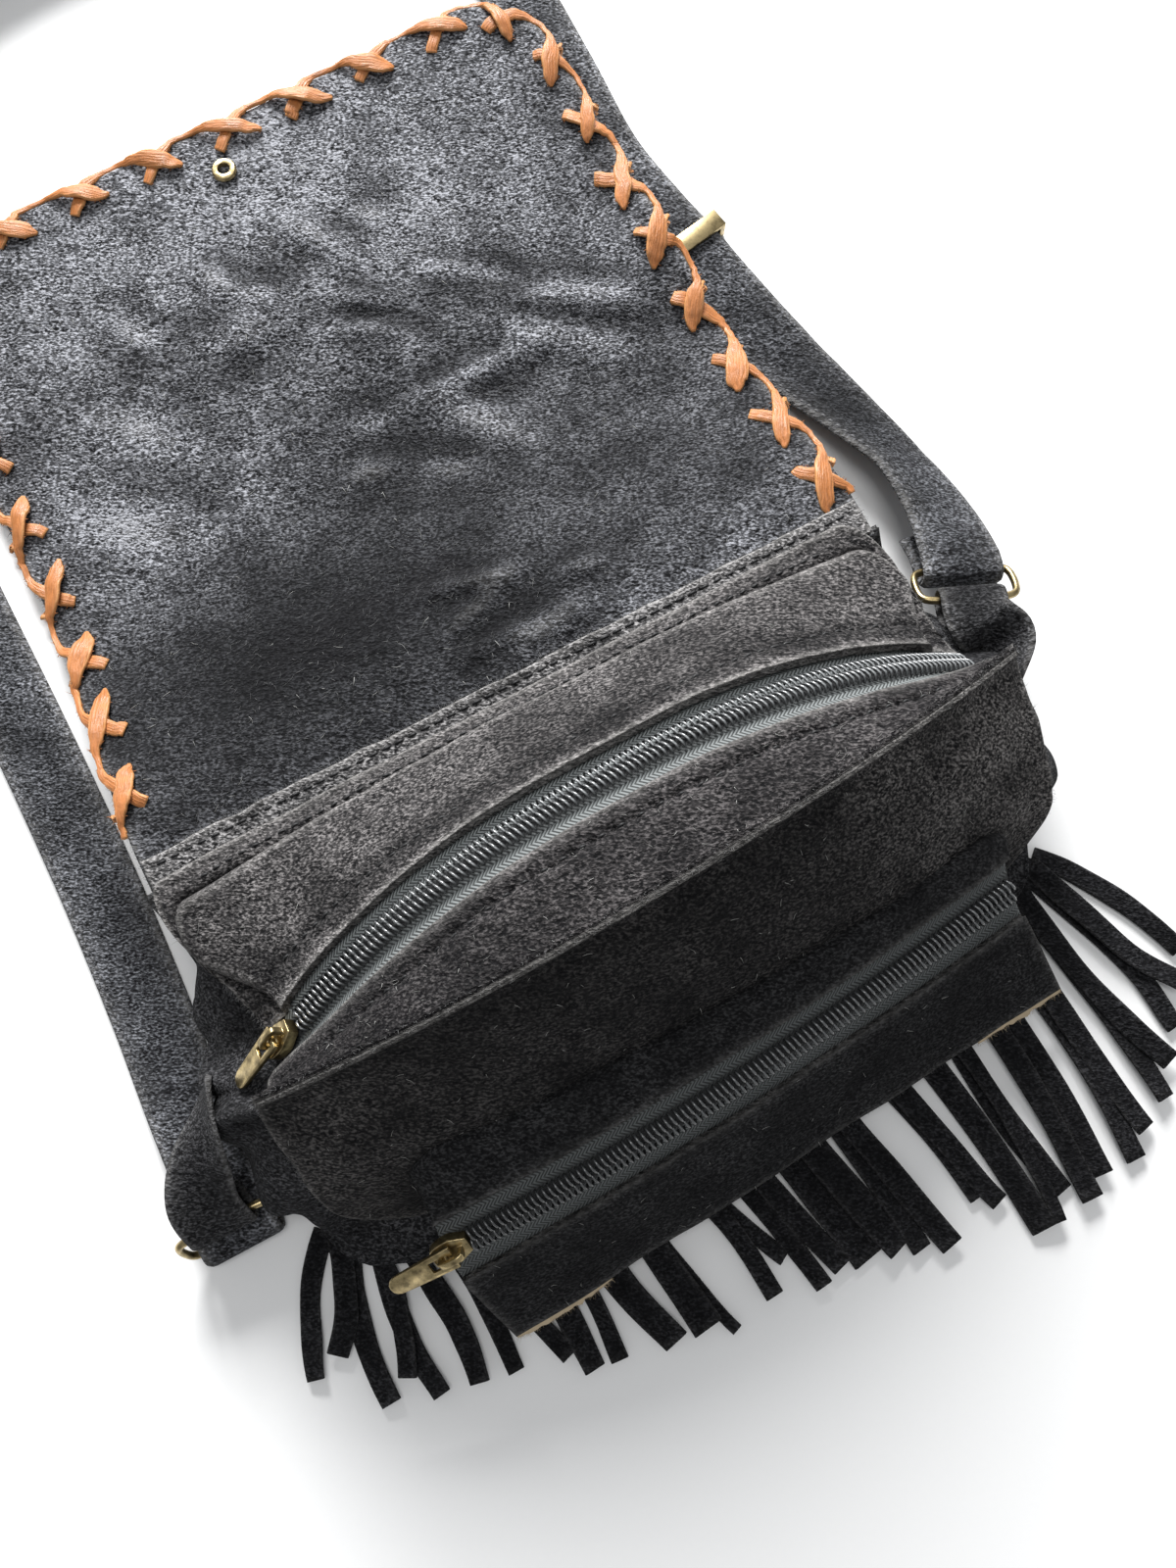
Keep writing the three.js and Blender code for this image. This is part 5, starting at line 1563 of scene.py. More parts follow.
def build_band_back(stitches):
    """The sewn strip behind the zip: grooves, a crease round its raised middle, a folded lip and painted
    shade beside the zip.
    """
    pitch = mm("seam_pitch")
    points = crumple(band_back_points(), "band_back")
    run_u, run_v = lengths(points, 0), lengths(points, 1)
    depth = panel_depth(run_u, run_v, BAND_PANEL["round"])
    lip = hump(run_v, LIP["wide"])
    along = np.where(depth < run_v[:, -1:] - run_v - BAND_PANEL["beside"], run_v, run_u)
    relief = seat_stitches(along, depth - BAND_PANEL["stitch"], pitch, BACK_GROOVE)
    relief = relief + seat_stitches(run_u, run_v - BAND_STITCH["from_zip"], pitch, BACK_GROOVE)
    relief = relief - BAND_PANEL["crease"] * hump(depth - BAND_PANEL["from"], BAND_PANEL["narrow"])
    relief = relief + BAND_PANEL["high"] * smoothstep(BAND_PANEL["from"], BAND_PANEL["to"], depth)
    relief = relief - LIP["drop"] * lip
    GRIDS["band_back"] = points + grid_normals(points) * relief[..., None]
    wear_and_painted_light = BAND_WEAR_AND_SHADE["crest"] * hump(depth - BAND_PANEL["to"], BAND_WEAR_AND_SHADE["crest_wide"])
    wear_and_painted_light = wear_and_painted_light + BAND_WEAR_AND_SHADE["lip"] * lip
    # A band of painted shade beside the zip.
    wear_and_painted_light = wear_and_painted_light - BAND_WEAR_AND_SHADE["shade"] * hump(run_v - BAND_WEAR_AND_SHADE["from_zip"], BAND_WEAR_AND_SHADE["wide"])
    thickness = mm("suede") * (1 + LIP["fold"] * lip)
    how = {"roundness": LIP["round"], "wear_and_painted_light": wear_and_painted_light}
    sheet_piece("band_back_suede", "band_back", "band_back", GRIDS["band_back"], thickness, **how)
    for distance in (BAND_STITCH["from_zip"], run_v[:, -1] - BAND_PANEL["stitch"]):
        row, up = row_on(GRIDS["band_back"], distance)
        sew_band(stitches, row, up, pitch, STITCH["share"])


def build_band_front(stitches):
    """The strip before the zip and its standing welt, sewn unevenly along its folded lip."""
    points = band_front_points()
    run_u, run_v = lengths(points, 0), lengths(points, 1)
    points = crumple(points, "band_front", smoothstep(*CALM_EDGE, run_v))
    depth = run_v[:, -1:] - run_v
    lip = hump(depth, LIP["wide"])
    wander = BAND_WANDER["high"] * noise(run_u / BAND_WANDER["long"], 0 * run_u, BAND_WANDER["seed"])
    aside = depth - BAND_STITCH["from_edge"] + wander
    relief = seat_stitches(run_u, aside, BAND_STITCH["pitch"], FRONT_GROOVE) - LIP["drop"] * lip
    GRIDS["band_front"] = points + grid_normals(points) * relief[..., None]
    thickness = mm("suede") * (1 + LIP["front_fold"] * lip)
    points = GRIDS["band_front"]
    sheet_piece("band_front_suede", "band_front", "band_front", points, thickness, raw=(1, 1, 0, 1))
    row, up = row_on(GRIDS["band_front"], run_v[:, -1] - BAND_STITCH["from_edge"] + wander[:, -1])
    sew_band(stitches, row, up, BAND_STITCH["pitch"], BAND_STITCH["share"])


class BAG_OT_band(bpy.types.Operator):
    """Builds the suede strips on both sides of the main zip"""

    bl_idname = "bag.band"
    bl_label = "Top band"

    def execute(self, context):
        stitches = Parts()
        build_band_back(stitches)
        build_band_front(stitches)
        finish_piece(stitches.build("band_stitches", MATERIALS["thread"]), "suede")
        return {"FINISHED"}


class BAG_OT_front(bpy.types.Operator):
    """Builds the sloping front panel"""

    bl_idname = "bag.front"
    bl_label = "Front panel"

    def execute(self, context):
        points = front_points()
        run_u, run_v = lengths(points, 0), lengths(points, 1)
        calm = smoothstep(*CALM_EDGE, run_v[:, -1:] - run_v)
        points = crumple(points, "front", calm)
        sag = noise(run_u / FRONT_SAG["across"], run_v / FRONT_SAG["up"], FRONT_SAG["seed"])
        GRIDS["front"] = points + grid_normals(points) * (FRONT_SAG["high"] * sag * calm)[..., None]
        sheet_piece("front_suede", "front", "front_panel", GRIDS["front"], mm("suede"))
        return {"FINISHED"}


def on_front(x, share):
    """Points pressed on the front panel, across the bag at x and up the pocket to a share of its height."""
    points = GRIDS["front"]
    seat = points + grid_normals(points) * POCKET_PRESS
    column = (front_across(x) - BAND["from"]) / (BAND["to"] - BAND["from"]) * (points.shape[0] - 1)
    up = POCKET["seam"] * lerp(POCKET_FOOT, 1, 2 * share - 1)
    row = up / FRONT["edge"] * FRONT["turn"] * (points.shape[1] - 1)
    i = np.clip(column.astype(int), 0, points.shape[0] - 2)
    j = np.clip(row.astype(int), 0, points.shape[1] - 2)
    low = lerp(seat[i, j], seat[i + 1, j], (column - i)[..., None])
    high = lerp(seat[i, j + 1], seat[i + 1, j + 1], (column - i)[..., None])
    return lerp(low, high, (row - j)[..., None])


def around_pocket(t):
    """Places on the pocket's surface down one side, along its foot and up the other side."""
    side, inset, low, high = (POCKET_WALL[k] for k in ("side", "inset", "low", "high"))
    end = np.minimum(t, 1 - t) / side
    along = np.clip((t - side) / (1 - 2 * side), 0, 1)
    return lerp(inset, 1 - inset, along), lerp(high, low, np.clip(end, 0, 1))


def build_pocket_top():
    u, v = grid(*CELLS["pocket_top"])
    low = 0.5 + share_beside(pocket_surface, u, ZIP["pocket_gap"], 1)
    high = 1 - (1 - low) * POCKET_CORNER["drop"] * corner_drop(u, POCKET_CORNER["share"])
    points = crumple(pocket_surface(u, lerp(low, high, v)), "pocket_top")
    points = lerp(points, on_front(points[..., 0], high), smoothstep(POCKET_SEAT, 1, v)[..., None])
    run_v = lengths(points, 1)
    aside = run_v[:, -1:] - run_v - POCKET_RIDGE["from_edge"]
    ridge = POCKET_RIDGE["high"] * hump(aside, POCKET_RIDGE["wide"])
    points = points + grid_normals(points) * ridge[..., None]
    sheet_piece("pocket_top_suede", "pocket", "pocket_top", points, mm("suede"), raw=(0, 0, 1, 0))


def build_pocket_front():
    u, v = grid(*CELLS["pocket_front"])
    high = 0.5 - share_beside(pocket_surface, u, ZIP["pocket_gap_low"], -1)
    points = crumple(pocket_surface(u, lerp(0, high, v)), "pocket_front")
    run_v = lengths(points, 1)
    fold = LIP["drop"] * hump(run_v[:, -1:] - run_v, LIP["wide"])
    GRIDS["pocket_front"] = points - grid_normals(points) * fold[..., None]
    sheet_piece("pocket_front_suede", "pocket", "pocket_front", GRIDS["pocket_front"], mm("suede"))


def build_pocket_raw_edges():
    """Pale torn suede along both ends of the pocket's lower edge."""
    edge, inner = grid_side(GRIDS["pocket_front"], "v0")
    out = unit(edge - inner)
    parts = Parts()
    for i, row in enumerate(POCKET_RAW):
        part = slice(round(row["from"] * len(edge)), round(row["to"] * len(edge)))
        at = np.linspace(0, 1, part.stop - part.start)
        tears = RAW_EDGE["uneven"] * noise(at * RAW_EDGE["tears"], 0 * at, RAW_EDGE["seed"] + i)
        fade = np.sin(math.pi * lerp(RAW_EDGE["fade"], 1 - RAW_EDGE["fade"], at)) ** 0.5
        ragged = (RAW_EDGE["wide"] + tears) * fade
        strip(parts, edge[part] + out[part] * RAW_EDGE["out"], out[part], 2 * ragged, RAW_EDGE["thick"])
        edge_hairs(parts, edge[part] + out[part], edge[part], RAW_HAIR, RAW_HAIR["seed"] + i)
    finish_piece(parts.build("pocket_raw_edges", MATERIALS["raw"]), "suede")


def build_pocket_wall():
    t, h = grid(*CELLS["pocket_wall"])
    at_u, at_v = around_pocket(t)
    closer = POCKET_WALL_END["closer"] * smoothstep(POCKET_WALL_END["from"], POCKET_WALL["high"], at_v)
    under = 2 * mm("suede") + TAPE["thick"] - closer
    outer = offset_surface(pocket_surface, -under[..., None])(at_u, at_v)
    climb = (at_v - POCKET_WALL["low"]) / (POCKET_WALL["high"] - POCKET_WALL["low"])
    down = POCKET_WALL["foot"] + POCKET_WALL["climb"] * climb
    inner = offset_surface(front_surface, mm("suede") + 2 * GAP)(front_across(outer[..., 0]), down)
    points = lerp(outer, inner, h[..., None])
    sheet_piece("pocket_wall_suede", "pocket", "pocket_wall", points, mm("suede"))


class BAG_OT_pocket(bpy.types.Operator):
    """Builds the front pocket's suede"""

    bl_idname = "bag.pocket"
    bl_label = "Pocket"

    def execute(self, context):
        build_pocket_top()
        build_pocket_front()
        build_pocket_raw_edges()
        build_pocket_wall()
        return {"FINISHED"}


# Zips


# One turn of a coil, from its foot over to the middle line: aside and high as shares of the coil's half
# width and height, and slip along the zip as a share of its pitch.
COIL_TURN = table(
    "aside high slip",
    (1.0, 0.1, 0.55),
    (1.02, 0.5, 0.45),
    (0.86, 0.84, 0.3),
    (0.55, 0.96, 0.1),
    (0.22, 0.9, -0.1),
    (-0.02, 0.7, -0.25),
    (-0.1, 0.35, -0.3),
)
COIL = {"beside": 0.03, "stagger": 0.25, "wire": 0.24, "sides": 6}


def zip_tape(parts, surface, start, stop, back, front):
    """A zip's tape under its coil, so far to its back and its front, with painted shade under the coil."""
    u, v = grid(*CELLS["tape"])
    across = lerp(start, stop, u)
    back_edge = 0.5 + np.minimum(TAPE["most"], share_beside(surface, across, back, 1))
    front_edge = 0.5 - np.minimum(TAPE["most"], share_beside(surface, across, front, -1))
    edge = np.where(v < 0.5, front_edge, back_edge)
    sunk = offset_surface(surface, -(mm("suede") + TAPE["thick"]) / 2 - TAPE["sunk"])
    points = sunk(across, lerp(0.5, edge, np.abs(2 * v - 1)))
    run_v = lengths(points, 1)
    beside = np.abs(run_v - run_v[:, [CELLS["tape"][1] // 2]])
    # Painted shade under the coil.
    shade = np.exp(-((beside / TAPE["shade"]) ** TAPE["sharp"]))
    sheet(parts, points, TAPE["thick"], raw=(0, 0, 0, 0), wear_and_painted_light=shade)


def zip_coil(parts, surface, start, stop, wear_and_painted_light):
    """Two rows of slanting nylon turns that meet in the middle, with a highlight painted on them, stronger
    from one end.
    """
    u = np.linspace(start, stop, LINE_POINTS["zip"])
    middle = surface(u, 0.5)
    run = lengths(middle, 0)
    across = unit(surface(u, 0.5 + COIL["beside"]) - surface(u, 0.5 - COIL["beside"]))
    normal = normal_at(surface, u, 0.5)
    pitch = mm("coil_pitch")
    high = mm("coil_high") * np.array([row["high"] for row in COIL_TURN]) - mm("suede") / 2
    for side in (1, -1):
        aside = side * mm("coil_width") / 2 * np.array([row["aside"] for row in COIL_TURN])
        slip = -side * pitch * np.array([row["slip"] for row in COIL_TURN])
        for i in range(int(run[-1] / pitch)):
            at = np.clip((i + COIL["stagger"] * (1 + side)) * pitch + slip, 0, run[-1])
            line = rows_at(at, run, middle)
            line = line + rows_at(at, run, across) * aside[:, None]
            line = line + rows_at(at, run, normal) * high[:, None]
            # The painted highlight grows stronger from the coil's first end.
            worn = lerp(wear_and_painted_light["first"], wear_and_painted_light["most"], smoothstep(0, wear_and_painted_light["from"], i * pitch / run[-1]))
            tube(parts, line, COIL["wire"] * pitch, COIL["sides"], worn)


class BAG_OT_zips(bpy.types.Operator):
    """Builds both zips' tapes and coils"""

    bl_idname = "bag.zips"
    bl_label = "Zips"

    def execute(self, context):
        parts = Parts()
        zip_tape(parts, top_surface, BAND["from"], BAND["to"], TAPE["back"], TAPE["front"])
        finish_piece(parts.build("main_tape", MATERIALS["tape"]), "zip_tape", "main_zip_tape")
        parts = Parts()
        zip_coil(parts, top_surface, ZIP["start"], BAND["to"], COIL_PAINTED_HIGHLIGHT["main"])
        finish_piece(parts.build("main_coil", MATERIALS["coil"]), "zip_coil", "main_zip_coil")
        parts = Parts()
        zip_tape(parts, pocket_surface, 0, 1, TAPE["pocket"], TAPE["pocket"])
        finish_piece(parts.build("pocket_tape", MATERIALS["pocket_tape"]), "zip_tape", "pocket_zip_tape")
        parts = Parts()
        zip_coil(parts, pocket_surface, ZIP["pocket_start"], 1, COIL_PAINTED_HIGHLIGHT["pocket"])
        finish_piece(parts.build("pocket_coil", MATERIALS["coil"]), "zip_coil", "pocket_zip_coil")
        return {"FINISHED"}


# Body: back panel, gusset, fringe, strap and tabs


def back_bottom_y(s):
    """The back panel's lower edge, from -1 at its left to 1 at its right."""
    reach = np.maximum(0, 1 - np.abs(s) ** BACK["square"]) ** (1 / BACK["square"])
    return BACK["corner_y"] - BACK["bottom"] * reach


def back_z(y):
    """Height of the back panel's middle, which climbs to the hinge."""
    climb = np.maximum(0, (y - BACK["flat_to"]) / (BACK["top_y"] - BACK["flat_to"]))
    return mm("suede") / 2 + BACK["rise"] * climb * climb


def gusset_points():
    """The wall from the back panel up to the band and the front, round one side, the foot and the other."""
    t, h = grid(*CELLS["gusset"])
    t = 1 - t
    top = offset_surface(top_surface, -GUSSET_UPPER["under"])
    front = offset_surface(front_surface, -GUSSET_UPPER["under"])
    side = np.minimum(t, 1 - t) / GUSSET["side"]
    edge = GUSSET_UPPER["edge"]
    turn = GUSSET["over_top"]
    u = np.where(t < 0.5, edge, 1 - edge)
    along = np.clip((t - GUSSET["side"]) / (1 - 2 * GUSSET["side"]), 0, 1)
    beside_top = top(u, lerp(GUSSET_UPPER["top_from"], GUSSET_UPPER["top_to"], np.clip(side / turn, 0, 1)))
    share = np.clip((side - turn) / (1 - turn), 0, 1)
    beside_front = front(u, lerp(GUSSET_UPPER["front_from"], GUSSET_UPPER["front_to"], share))
    below = front_surface(lerp(edge, 1 - edge, along), 0) + GUSSET_UNDER_FRONT
    upper = np.where((side < 1)[..., None], beside_front, below)
    upper = np.where((side < turn)[..., None], beside_top, upper)
    s = np.where(side < 1, np.where(t < 0.5, -1.0, 1.0), -np.cos(math.pi * along))
    side_y = lerp(GUSSET_LOWER["top_y"], BACK["corner_y"] + GUSSET_LOWER["inset"], np.clip(side, 0, 1))
    y = np.where(side < 1, side_y, back_bottom_y(s) + GUSSET_LOWER["inset"])
    z = back_z(y) + mm("suede") + GAP + GUSSET_LOWER["lift"]
    lower = np.stack([BACK["half"] * GUSSET_LOWER["share"] * s, y, z], -1)
    corner = smoothstep(GUSSET["corner"], 1, side)
    outward = np.stack([s, np.where(np.abs(s) < GUSSET["below"], -1.0, -corner), 0 * s], -1)
    tall = np.clip(np.linalg.norm(lower - upper, axis=-1) / GUSSET["tall"], 0, 1)
    fold = 2 * math.pi * GUSSET["pleats"] * np.clip(side, 0, 1) + GUSSET["slope"] * h
    pleat = GUSSET["pleat"] * np.sin(fold)
    bulge = np.where(s < 0, GUSSET["bulge_left"], GUSSET["bulge"])
    bulge = lerp(bulge, GUSSET["bulge"], np.clip(s + 1, 0, 1))
    swell = (bulge + pleat) * np.sin(math.pi * h) * tall * smoothstep(0, GUSSET["calm"], side)
    return lerp(lower, upper, h[..., None]) + unit(outward) * swell[..., None]


def build_back():
    u, v = grid(*CELLS["back"])
    s = -np.cos(math.pi * u)
    y = lerp(back_bottom_y(s), BACK["top_y"], v)
    points = np.stack([BACK["half"] * s, y, back_z(y)], -1)
    sheet_piece("back_suede", "gusset", "back_panel", points, mm("suede"))


def build_gusset():
    points = gusset_points()
    from_end = np.minimum(lengths(points, 0), lengths(points[::-1], 0)[::-1])
    points = crumple(points, "gusset", smoothstep(*GUSSET_CALM, from_end))
    sheet_piece("gusset_suede", "gusset", "gusset", points, mm("suede"))


class BAG_OT_body(bpy.types.Operator):
    """Builds the back panel and the crumpled wall round the sides"""

    bl_idname = "bag.body"
    bl_label = "Body"

    def execute(self, context):
        build_back()
        build_gusset()
        return {"FINISHED"}


def fringe_root(s):
    """Places on the middle of the fringe's heading, from -1 to 1 along the lower edge."""
    s = np.asarray(s, float)
    x = FRINGE["root_out"] * BACK["half"] * s
    y = back_bottom_y(s) - FRINGE["root_back"] - GAP - FRINGE["heading"] / 2
    z = FRINGE["thick"] / 2 + FRINGE["floor"] + 0 * s
    return np.stack([x, y, z], -1)


def fringe_strand(parts, row, seed):
    """One cut strand from the heading to its tip, waving a little and lifting over its neighbours."""
    start = fringe_root(row["along"]) + np.array([0, FRINGE["root_in"], 0])
    low = start[2]
    layer = FRINGE["layer"] * row["layer"]
    tip = np.array([row["x"], row["y"], low + layer * FRINGE["tip"]])
    t = np.linspace(0, 1, LINE_POINTS["strand"])
    waves = {name: wave_along(wave, t, seed) for name, wave in FRINGE_WAVES.items()}
    aside = np.cross(UP, unit(tip - start))
    bow = row["bow"] * 4 * t * (1 - t) + waves["bow"] * t
    lift = layer * np.sin(math.pi * np.clip(t * FRINGE["arch_to"], 0, 1)) * FRINGE["arch"]
    lift = lift + (FRINGE_WAVES["lift"]["size"] + waves["lift"]) * t
    points = lerp(start, tip, t[:, None]) + aside * bow[:, None] + UP * lift[:, None]
    twist = waves["twist"] * t
    width = row["width"] * (1 + waves["width"])
    drop = 0.5 * width * np.abs(twist)
    points[:, 2] = np.maximum(points[:, 2] + drop, low + drop)
    strip(parts, points, aside + UP * twist[:, None], width, FRINGE["thick"])


class BAG_OT_fringe(bpy.types.Operator):
    """Builds the cut fringe"""

    bl_idname = "bag.fringe"
    bl_label = "Fringe"

    def execute(self, context):
        tables = {"left": FRINGE_LEFT, "bottom": FRINGE_BOTTOM, "right": FRINGE_RIGHT}
        for name, rows in tables.items():
            parts = Parts()
            head = fringe_root(np.linspace(rows[0]["along"], rows[-1]["along"], LINE_POINTS["heading"]))
            strip(parts, head, np.tile([0.0, 1, 0], (len(head), 1)), FRINGE["heading"], FRINGE["thick"])
            for i, row in enumerate(rows):
                fringe_strand(parts, row, i + FRINGE["seed"] * len(rows))
            piece = parts.build("fringe_" + name + "_suede", MATERIALS["fringe"])
            finish_piece(piece, "suede", "fringe_" + name)
        return {"FINISHED"}


def strap_line():
    """Middle points and width directions along the strap."""
    t = np.linspace(0, 1, LINE_POINTS["strap"])
    points = along_curve([[row["x"], row["y"], row["z"]] for row in STRAP_ROUTE], t)
    heading = np.radians(along_table([row["across"] for row in STRAP_ROUTE], t))
    tilt = np.radians(along_table([row["tilt"] for row in STRAP_ROUTE], t))
    across = np.stack([np.cos(tilt) * np.cos(heading), np.cos(tilt) * np.sin(heading), np.sin(tilt)], -1)
    return points, across


def tab_line(tab, ring):
    """Middle points and width directions of a tab, from its root in the seam round its ring's bar."""
    bars = unit(ring["bars"])
    bar = np.array(ring["middle"]) + unit(ring["to_tab"]) * (RING["deep"] + RING["wire"]) / 2
    bend = np.array(tab["bend"], float)
    heading = bar - bend
    heading = unit(heading - bars * (heading @ bars))
    over = np.cross(heading, bars)
    over = over if over[2] > 0 else -over
    angles = [i * math.pi / TAB["turns"] for i in range(TAB["turns"] + 1)]
    wrap = [bar + over * TAB["bar"] * math.cos(a) + heading * TAB["bar"] * math.sin(a) for a in angles]
    start = wrap[0] - heading * TAB["lead"]
    stop = wrap[-1] - heading * TAB["tail"]
    points = [np.array(tab["root"], float), bend, start, *wrap, stop]
    t = np.linspace(0, 1, LINE_POINTS["tab"])
    turned = np.clip(t * (len(points) - 1) / 2, 0, 1)[:, None]
    return along_curve(points, t), lerp(unit(tab["root_across"]), bars, turned)


def build_strap():
    points, across = strap_line()
    parts = Parts()
    strip(parts, points, across, mm("strap_width"), mm("strap_thick"))
    finish_piece(parts.build("strap_suede", MATERIALS["strap"]), "suede", "strap")


def build_strap_stitches():
    """A row of stitches along each edge of the strap's upper face, between its folded ends."""
    points, across = strap_line()
    heading = unit(np.gradient(points, axis=0))
    across = unit(across - heading * np.sum(across * heading, -1, keepdims=True))
    normal = np.cross(heading, across)
    face = np.where(normal[:, 2:] < 0, -normal, normal)
    sewn = slice(STRAP_STITCH["from"], STRAP_STITCH["to"])
    parts = Parts()
    for side in (-1, 1):
        line = points + across * side * (mm("strap_width") / 2 - STRAP_STITCH["from_edge"])
        line = line + face * (mm("strap_thick") / 2 - STRAP_STITCH["sunk"])
        stitch_row(parts, line[sewn], face[sewn], mm("strap_pitch"))
    finish_piece(parts.build("strap_stitches", MATERIALS["strap_thread"]), "suede")


def build_tabs():
    for name, tab, ring in (("left", TAB_LEFT, RING_LEFT), ("right", TAB_RIGHT, RING_RIGHT)):
        points, across = tab_line(tab, ring)
        parts = Parts()
        strip(parts, points, across, TAB["width"], TAB["thick"])
        finish_piece(parts.build("tab_" + name + "_suede", MATERIALS["gusset"]), "suede", "tab_" + name)


class BAG_OT_strap(bpy.types.Operator):
    """Builds the shoulder strap and the tabs that hold its rings"""

    bl_idname = "bag.strap"
    bl_label = "Strap"

    def execute(self, context):
        build_strap()
        build_strap_stitches()
        build_tabs()
        return {"FINISHED"}


# Brass


PULL_BODIES = {"main_zip_pull": "main_pull", "pocket_zip_pull": "pocket_pull"}
BRASS_ROUND = ["ring_left", "ring_right"]
BRASS_CAST = [
    "main_zip_slider", "main_zip_pull", "pocket_zip_slider", "pocket_zip_pull",
    "strap_slide", "flap_eyelet",
]

# Rounding of the brass: how near corners join, in metres, angles taken as flat and as smooth, and steps.
BRASS = {"join": 1e-6, "flat": math.radians(3), "smooth": math.radians(40), "steps": 2}


def merged_copy(name):
    """A copy of one of the frame's solids with its triangles joined into flat faces."""
    copy = bpy.data.objects.new(name + "_brass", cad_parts[name].data.copy())
    bpy.context.scene.collection.objects.link(copy)
    bpy.ops.object.select_all(action="DESELECT")
    copy.select_set(True)
    bpy.context.view_layer.objects.active = copy
    bpy.ops.object.mode_set(mode="EDIT")
    bpy.ops.mesh.select_all(action="SELECT")
    bpy.ops.mesh.remove_doubles(threshold=BRASS["join"])
    if name in BRASS_ROUND:
        bpy.ops.mesh.tris_convert_to_quads()
    else:
        bpy.ops.mesh.dissolve_limited(angle_limit=BRASS["flat"])
    bpy.ops.object.mode_set(mode="OBJECT")
    return copy


class BAG_OT_brass(bpy.types.Operator):
    """Builds the rings, sliders, pulls, slide and eyelet with rounded edges"""

    bl_idname = "bag.brass"
    bl_label = "Brass"

    def execute(self, context):
        for name in BRASS_ROUND + BRASS_CAST:
            copy = merged_copy(name)
            if name in BRASS_ROUND:
                rounding = copy.modifiers.new("round", "SUBSURF")
                rounding.levels = BRASS["steps"]
                rounding.render_levels = BRASS["steps"]
            else:
                rounding = copy.modifiers.new("edges", "BEVEL")
                rounding.width = context.scene.bag_sizes.brass_edge
                rounding.segments = BRASS["steps"]
                rounding.limit_method = "ANGLE"
            bpy.ops.object.modifier_apply(modifier=rounding.name)
            bpy.ops.object.shade_smooth_by_angle(angle=BRASS["smooth"])
            copy.data.materials.clear()
            copy.data.materials.append(MATERIALS["brass"])
            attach(copy, PULL_BODIES.get(name, BODY))
            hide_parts(name)
        return {"FINISHED"}


# Nap, cut edges and lint


HAIR_SEEDS = {"nap": 101, "edges": 110, "lint": 130}
LINT_HIGH = 0.06
NAP = {"count": 4500, "long": 1.6, "radius": 0.06, "spread": 0.6, "lift": 0.3}
LINT = table(
    "grid count long radius spread lift",
    ("flap", 240, 2.0, 0.08, 1.5, 0.05),
    ("band_back", 40, 2.0, 0.06, 1.5, 0.05),
    ("band_front", 150, 1.3, 0.07, 1.5, 0.1),
    ("front", 150, 1.5, 0.07, 1.5, 0.05),
    ("pocket_front", 40, 1.6, 0.06, 1.5, 0.05),
)
CUT_EDGES = table(
    "grid side count long",
    ("flap", "u0", 500, 1.2),
    ("flap", "u1", 500, 1.2),
    ("flap", "v1", 400, 1.2),
    ("hinge", "v1", 700, 1.2),
    ("band_back", "v1", 700, 1.2),
    ("band_back", "u0", 200, 1.6),
    ("band_back", "u1", 200, 1.6),
    ("band_front", "v0", 260, 0.9),
    ("front", "v1", 260, 0.9),
    ("front", "u0", 200, 1.2),
    ("front", "u1", 200, 1.2),
    ("pocket_front", "v0", 400, 1.0),
)


def grid_side(points, side):
    """A grid's row of points along one side, and the next row in."""
    rows = {"u0": (points[0], points[1]), "u1": (points[-1], points[-2])}
    rows.update({"v0": (points[:, 0], points[:, 1]), "v1": (points[:, -1], points[:, -2])})
    return rows[side]


class BAG_OT_hairs(bpy.types.Operator):
    """Builds the flap's raised nap, the hairs of the cut edges and the lint"""

    bl_idname = "bag.hairs"
    bl_label = "Hairs"

    def execute(self, context):
        parts = Parts()
        lying_hairs(parts, GRIDS["flap"], mm("suede") / 2, NAP, HAIR_SEEDS["nap"])
        finish_piece(parts.build("flap_nap", MATERIALS["hair"]), "suede")
        parts = Parts()
        for i, row in enumerate(CUT_EDGES):
            edge, inner = grid_side(GRIDS[row["grid"]], row["side"])
            edge_hairs(parts, edge, inner, row, HAIR_SEEDS["edges"] + i)
        finish_piece(parts.build("cut_edge_hairs", MATERIALS["hair"]), "suede")
        parts = Parts()
        for i, row in enumerate(LINT):
            high = mm("suede") / 2 + LINT_HIGH
            lying_hairs(parts, GRIDS[row["grid"]], high, row, HAIR_SEEDS["lint"] + i)
        finish_piece(parts.build("lint", MATERIALS["lint"]), "suede")
        return {"FINISHED"}


# Stage


# The stage: places and sizes in metres, angles in degrees, lens and sensor in millimetres.
CAMERA = {
    "x": -0.02103, "y": -0.02365, "z": 0.359, "azimuth": -27.7, "elevation": 80,
    "lens": 29.25, "sensor": 36, "clip": 0.01,
}
LIGHTS = table(
    "name x y z size power",
    ("window", 0.35, 1.35, 0.72, 0.6, 52),
    ("ceiling", 0.0, 0.1, 1.5, 0.5, 5),
)
FLOOR_SIZE = 6
SKY = {"colour": (0.95, 0.97, 1.0, 1), "strength": 0.34}


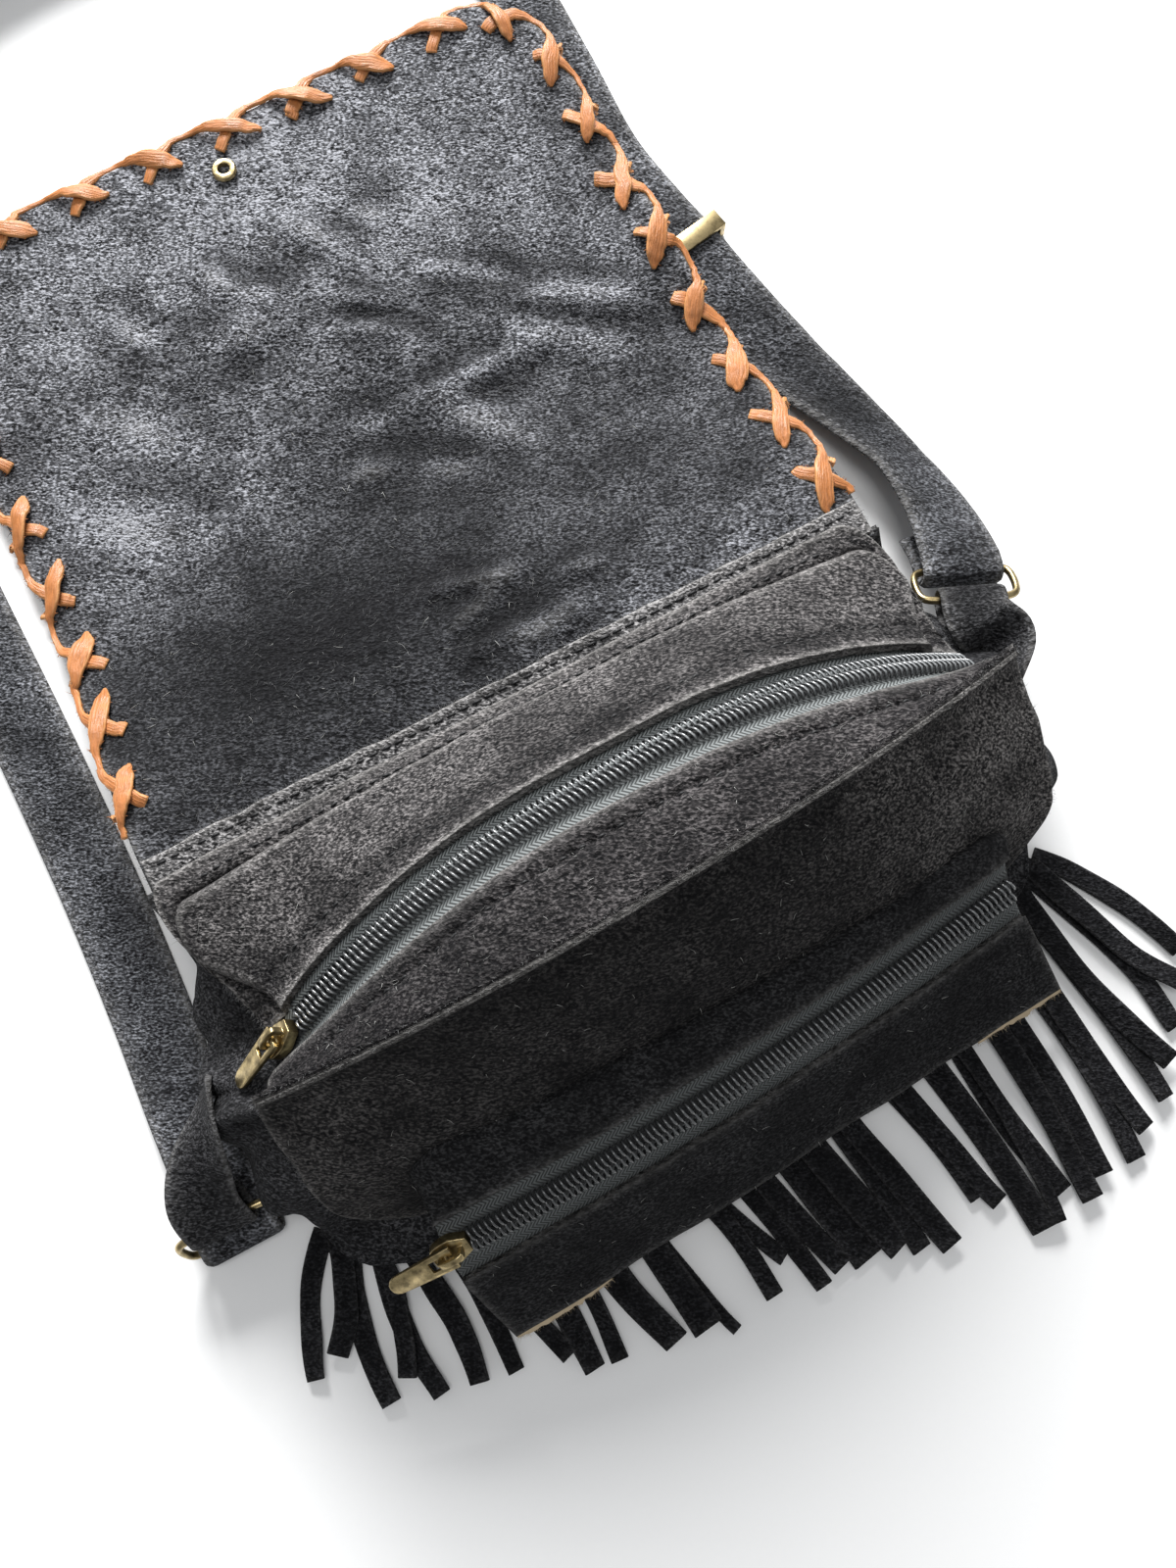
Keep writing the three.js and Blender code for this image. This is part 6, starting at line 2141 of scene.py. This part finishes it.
class BAG_OT_stage(bpy.types.Operator):
    """Adds the floor, the lights and the camera"""

    bl_idname = "bag.stage"
    bl_label = "Stage"

    def execute(self, context):
        bpy.ops.object.select_all(action="DESELECT")
        bpy.ops.mesh.primitive_plane_add(size=FLOOR_SIZE, location=(0, 0, 0))
        floor = context.active_object
        floor.name = "floor"
        floor.data.materials.append(MATERIALS["floor"])
        for row in LIGHTS:
            bpy.ops.object.light_add(type="AREA", location=(row["x"], row["y"], row["z"]))
            light = context.active_object
            light.name = row["name"]
            light.data.size = row["size"]
            light.data.energy = row["power"]
            aim = -light.location
            light.rotation_mode = "QUATERNION"
            light.rotation_quaternion = aim.to_track_quat("-Z", "Y")
        world = bpy.data.worlds.new("daylight")
        world.use_nodes = True
        world.node_tree.nodes["Background"].inputs["Color"].default_value = SKY["colour"]
        world.node_tree.nodes["Background"].inputs["Strength"].default_value = SKY["strength"]
        context.scene.world = world
        context.scene.view_settings.view_transform = "Standard"
        bpy.ops.object.camera_add(location=(CAMERA["x"], CAMERA["y"], CAMERA["z"]))
        camera = context.active_object
        a = math.radians(CAMERA["azimuth"])
        e = math.radians(CAMERA["elevation"])
        back = np.array([math.sin(a) * math.cos(e), -math.cos(a) * math.cos(e), math.sin(e)])
        right = unit(np.cross(UP, back))
        up = np.cross(back, right)
        turn = Matrix(np.stack([right, up, back], 1).tolist())
        camera.rotation_mode = "QUATERNION"
        camera.rotation_quaternion = turn.to_quaternion()
        camera.data.lens = CAMERA["lens"]
        camera.data.sensor_width = CAMERA["sensor"]
        camera.data.clip_start = CAMERA["clip"]
        context.scene.camera = camera
        return {"FINISHED"}


STEPS = [
    "materials", "flap", "lacing", "band", "front", "pocket", "zips",
    "body", "fringe", "strap", "brass", "hairs", "stage",
]


class BAG_PT_panel(bpy.types.Panel):
    """Sizes, colours and build steps of the bag"""

    bl_label = "Fringe Bag"
    bl_idname = "BAG_PT_panel"
    bl_space_type = "VIEW_3D"
    bl_region_type = "UI"
    bl_category = "Bag"

    def draw(self, context):
        for group in (context.scene.bag_sizes, context.scene.bag_colours):
            for name in group.__annotations__:
                self.layout.prop(group, name)
        for step in STEPS:
            self.layout.operator("bag." + step)


CLASSES = [
    BagSizes,
    BagColours,
    BAG_OT_materials,
    BAG_OT_flap,
    BAG_OT_lacing,
    BAG_OT_band,
    BAG_OT_front,
    BAG_OT_pocket,
    BAG_OT_zips,
    BAG_OT_body,
    BAG_OT_fringe,
    BAG_OT_strap,
    BAG_OT_brass,
    BAG_OT_hairs,
    BAG_OT_stage,
    BAG_PT_panel,
]


def register():
    for cls in CLASSES:
        bpy.utils.register_class(cls)
    bpy.types.Scene.bag_sizes = bpy.props.PointerProperty(type=BagSizes)
    bpy.types.Scene.bag_colours = bpy.props.PointerProperty(type=BagColours)


def unregister():
    del bpy.types.Scene.bag_colours
    del bpy.types.Scene.bag_sizes
    for cls in reversed(CLASSES):
        bpy.utils.unregister_class(cls)


def main():
    register()
    for step in STEPS:
        getattr(bpy.ops.bag, step)()


if __name__ == "__main__":
    main()
